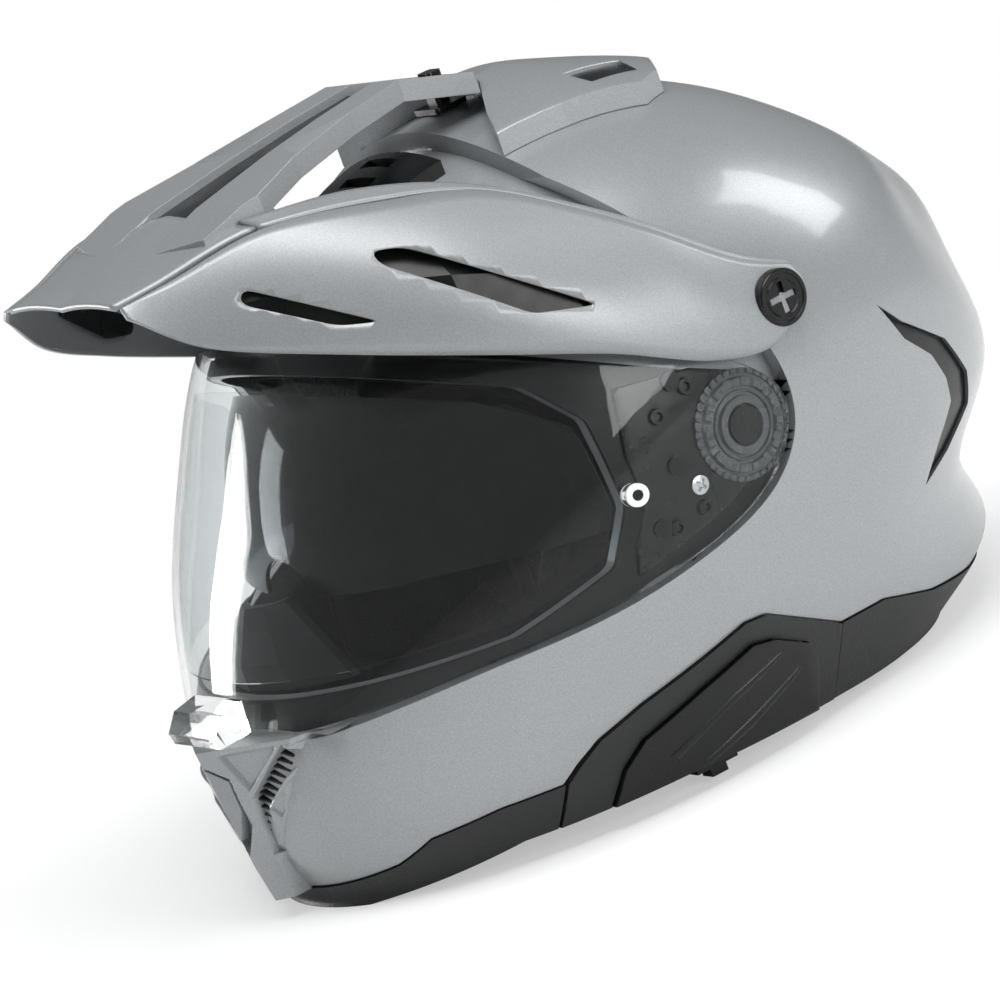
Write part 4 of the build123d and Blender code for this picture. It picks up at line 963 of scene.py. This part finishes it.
facet_outline = [(8, 66.2), (29, 66.6), (13.2, 52.5)]
chin_y = chin_y - raised(side_x, chin_z, arm_outline, 1.2 * mm)
chin_y = chin_y + raised(side_x, chin_z, vane_outline, 1.3 * mm)
chin_y = chin_y + raised(side_x, chin_z, facet_outline, 1.5 * mm, 1.2 * mm)
slider_path = [(-1, 62.6), (0, 62.6), (7.4, 57.2), (6.9, 39.0), (0, 27.2), (-1, 27.2)]
chin_y = chin_y + raised(side_x, chin_z, slider_path, 6.5 * mm, 0.5 * mm)
mask_y = chin_y + raised(side_x, chin_z, slot_outline, 5.0 * mm, 0.8 * mm)
mask = np.stack([chin_x, mask_y, chin_z], axis=-1)
low_back_y, high_back_y = -148 * mm, -152 * mm
without_y = np.array([1.0, 0, 1.0])
low_row = mask[:1] * without_y + [0, low_back_y, 0]
high_row = mask[-1:] * without_y + [0, high_back_y, 0]
chin_mask = make_piece("chin_vent_mask", [grid(np.concatenate([low_row, mask, high_row]))], "helmet",
                       "gloss_paint", closed=False, sharp=18)
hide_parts("chin_vent_housing")

# %% Louvres in the slots
def drop_loose(piece):
    """Delete the vertices that no face uses."""
    work = bmesh.new()
    work.from_mesh(piece.data)
    loose = [vertex for vertex in work.verts if not vertex.link_faces]
    bmesh.ops.delete(work, geom=loose, context="VERTS")
    work.to_mesh(piece.data)
    work.free()


louvre_pitch = 3.4 * mm
rib = (side_x * 0.5 + chin_z) / louvre_pitch
ribs = np.clip(np.abs((rib % 1) - 0.5) * 6 - 1, 0, 1)
louvre_y = chin_y + (3.6 - 1.8 * ribs) * mm
cover = outline_distance(side_x, chin_z, slot_outline) > -1.0 * mm
keep = (cover[:-1, :-1] & cover[1:, 1:]).ravel()
louvre_points, louvre_quads = grid(np.stack([chin_x, louvre_y, chin_z], axis=-1))
louvres = make_piece("chin_vent_louvres", [(louvre_points, louvre_quads[keep])], "helmet",
                     "black_plastic", closed=False, sharp=30)
drop_loose(louvres)
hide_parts("chin_vent_grille")


# %% [markdown]
# ## Intercom covers
# The real cover is a glossy moulding with two blade-shaped dents that lead back and up. A grid is laid
# over the solid's own surface from the side, and the blades are sunk into it by distance to an outline.

# %% Blades of the intercom covers
blade_outlines = [[(-58, 19), (-30, 30), (-5, 37), (-8, 33.5), (-34, 24.5), (-56, 15.5)],
                  [(-46, 11), (-22, 19), (2, 28), (-1, 24), (-24, 14), (-42, 9)]]
blade_y = np.linspace(-62, 5, 135)[None, :] * mm
blade_z = np.linspace(8.4, 39, 63)[:, None] * mm
blade_y, blade_z = np.broadcast_arrays(blade_y, blade_z)
blade_x = wall_x(blade_y, blade_z, "intercom_cover_left")
for place, outline in enumerate(blade_outlines):
    near = outline_distance(blade_y, blade_z, outline)
    lift = 1.1 * mm * np.clip(near / (2.2 * mm), 0, 1) ** 0.5 - 0.25 * mm
    blade = np.stack([blade_x + lift, blade_y, blade_z], axis=-1)
    covered = near > -0.4 * mm
    kept = (covered[:-1, :-1] & covered[1:, 1:]).ravel()
    for sign, side_name in ((1, "left"), (-1, "right")):
        blade_points, blade_quads = grid(blade * [sign, 1, 1])
        if sign < 0:
            blade_quads = blade_quads[:, ::-1]
        piece = make_piece(f"cover_blade_{place}_{side_name}", [(blade_points, blade_quads[kept])],
                           f"{side_name}_cover", "black_plastic", closed=False, sharp=50)
        drop_loose(piece)

# %% Round the edges of the hard pieces
for name, width in (("peak_bridge", 0.9), ("crown_vent_housing", 0.8),
                    ("chin_vent_slider", 0.4), ("crown_vent_slider", 0.5), ("visor_base_plate_left", 0.3),
                    ("visor_base_plate_right", 0.3), ("intercom_cover_left", 0.4),
                    ("intercom_cover_right", 0.4)):
    soften(name, width * mm)

# %% Finish with the plain view transform
bpy.context.scene.view_settings.view_transform = "Standard"
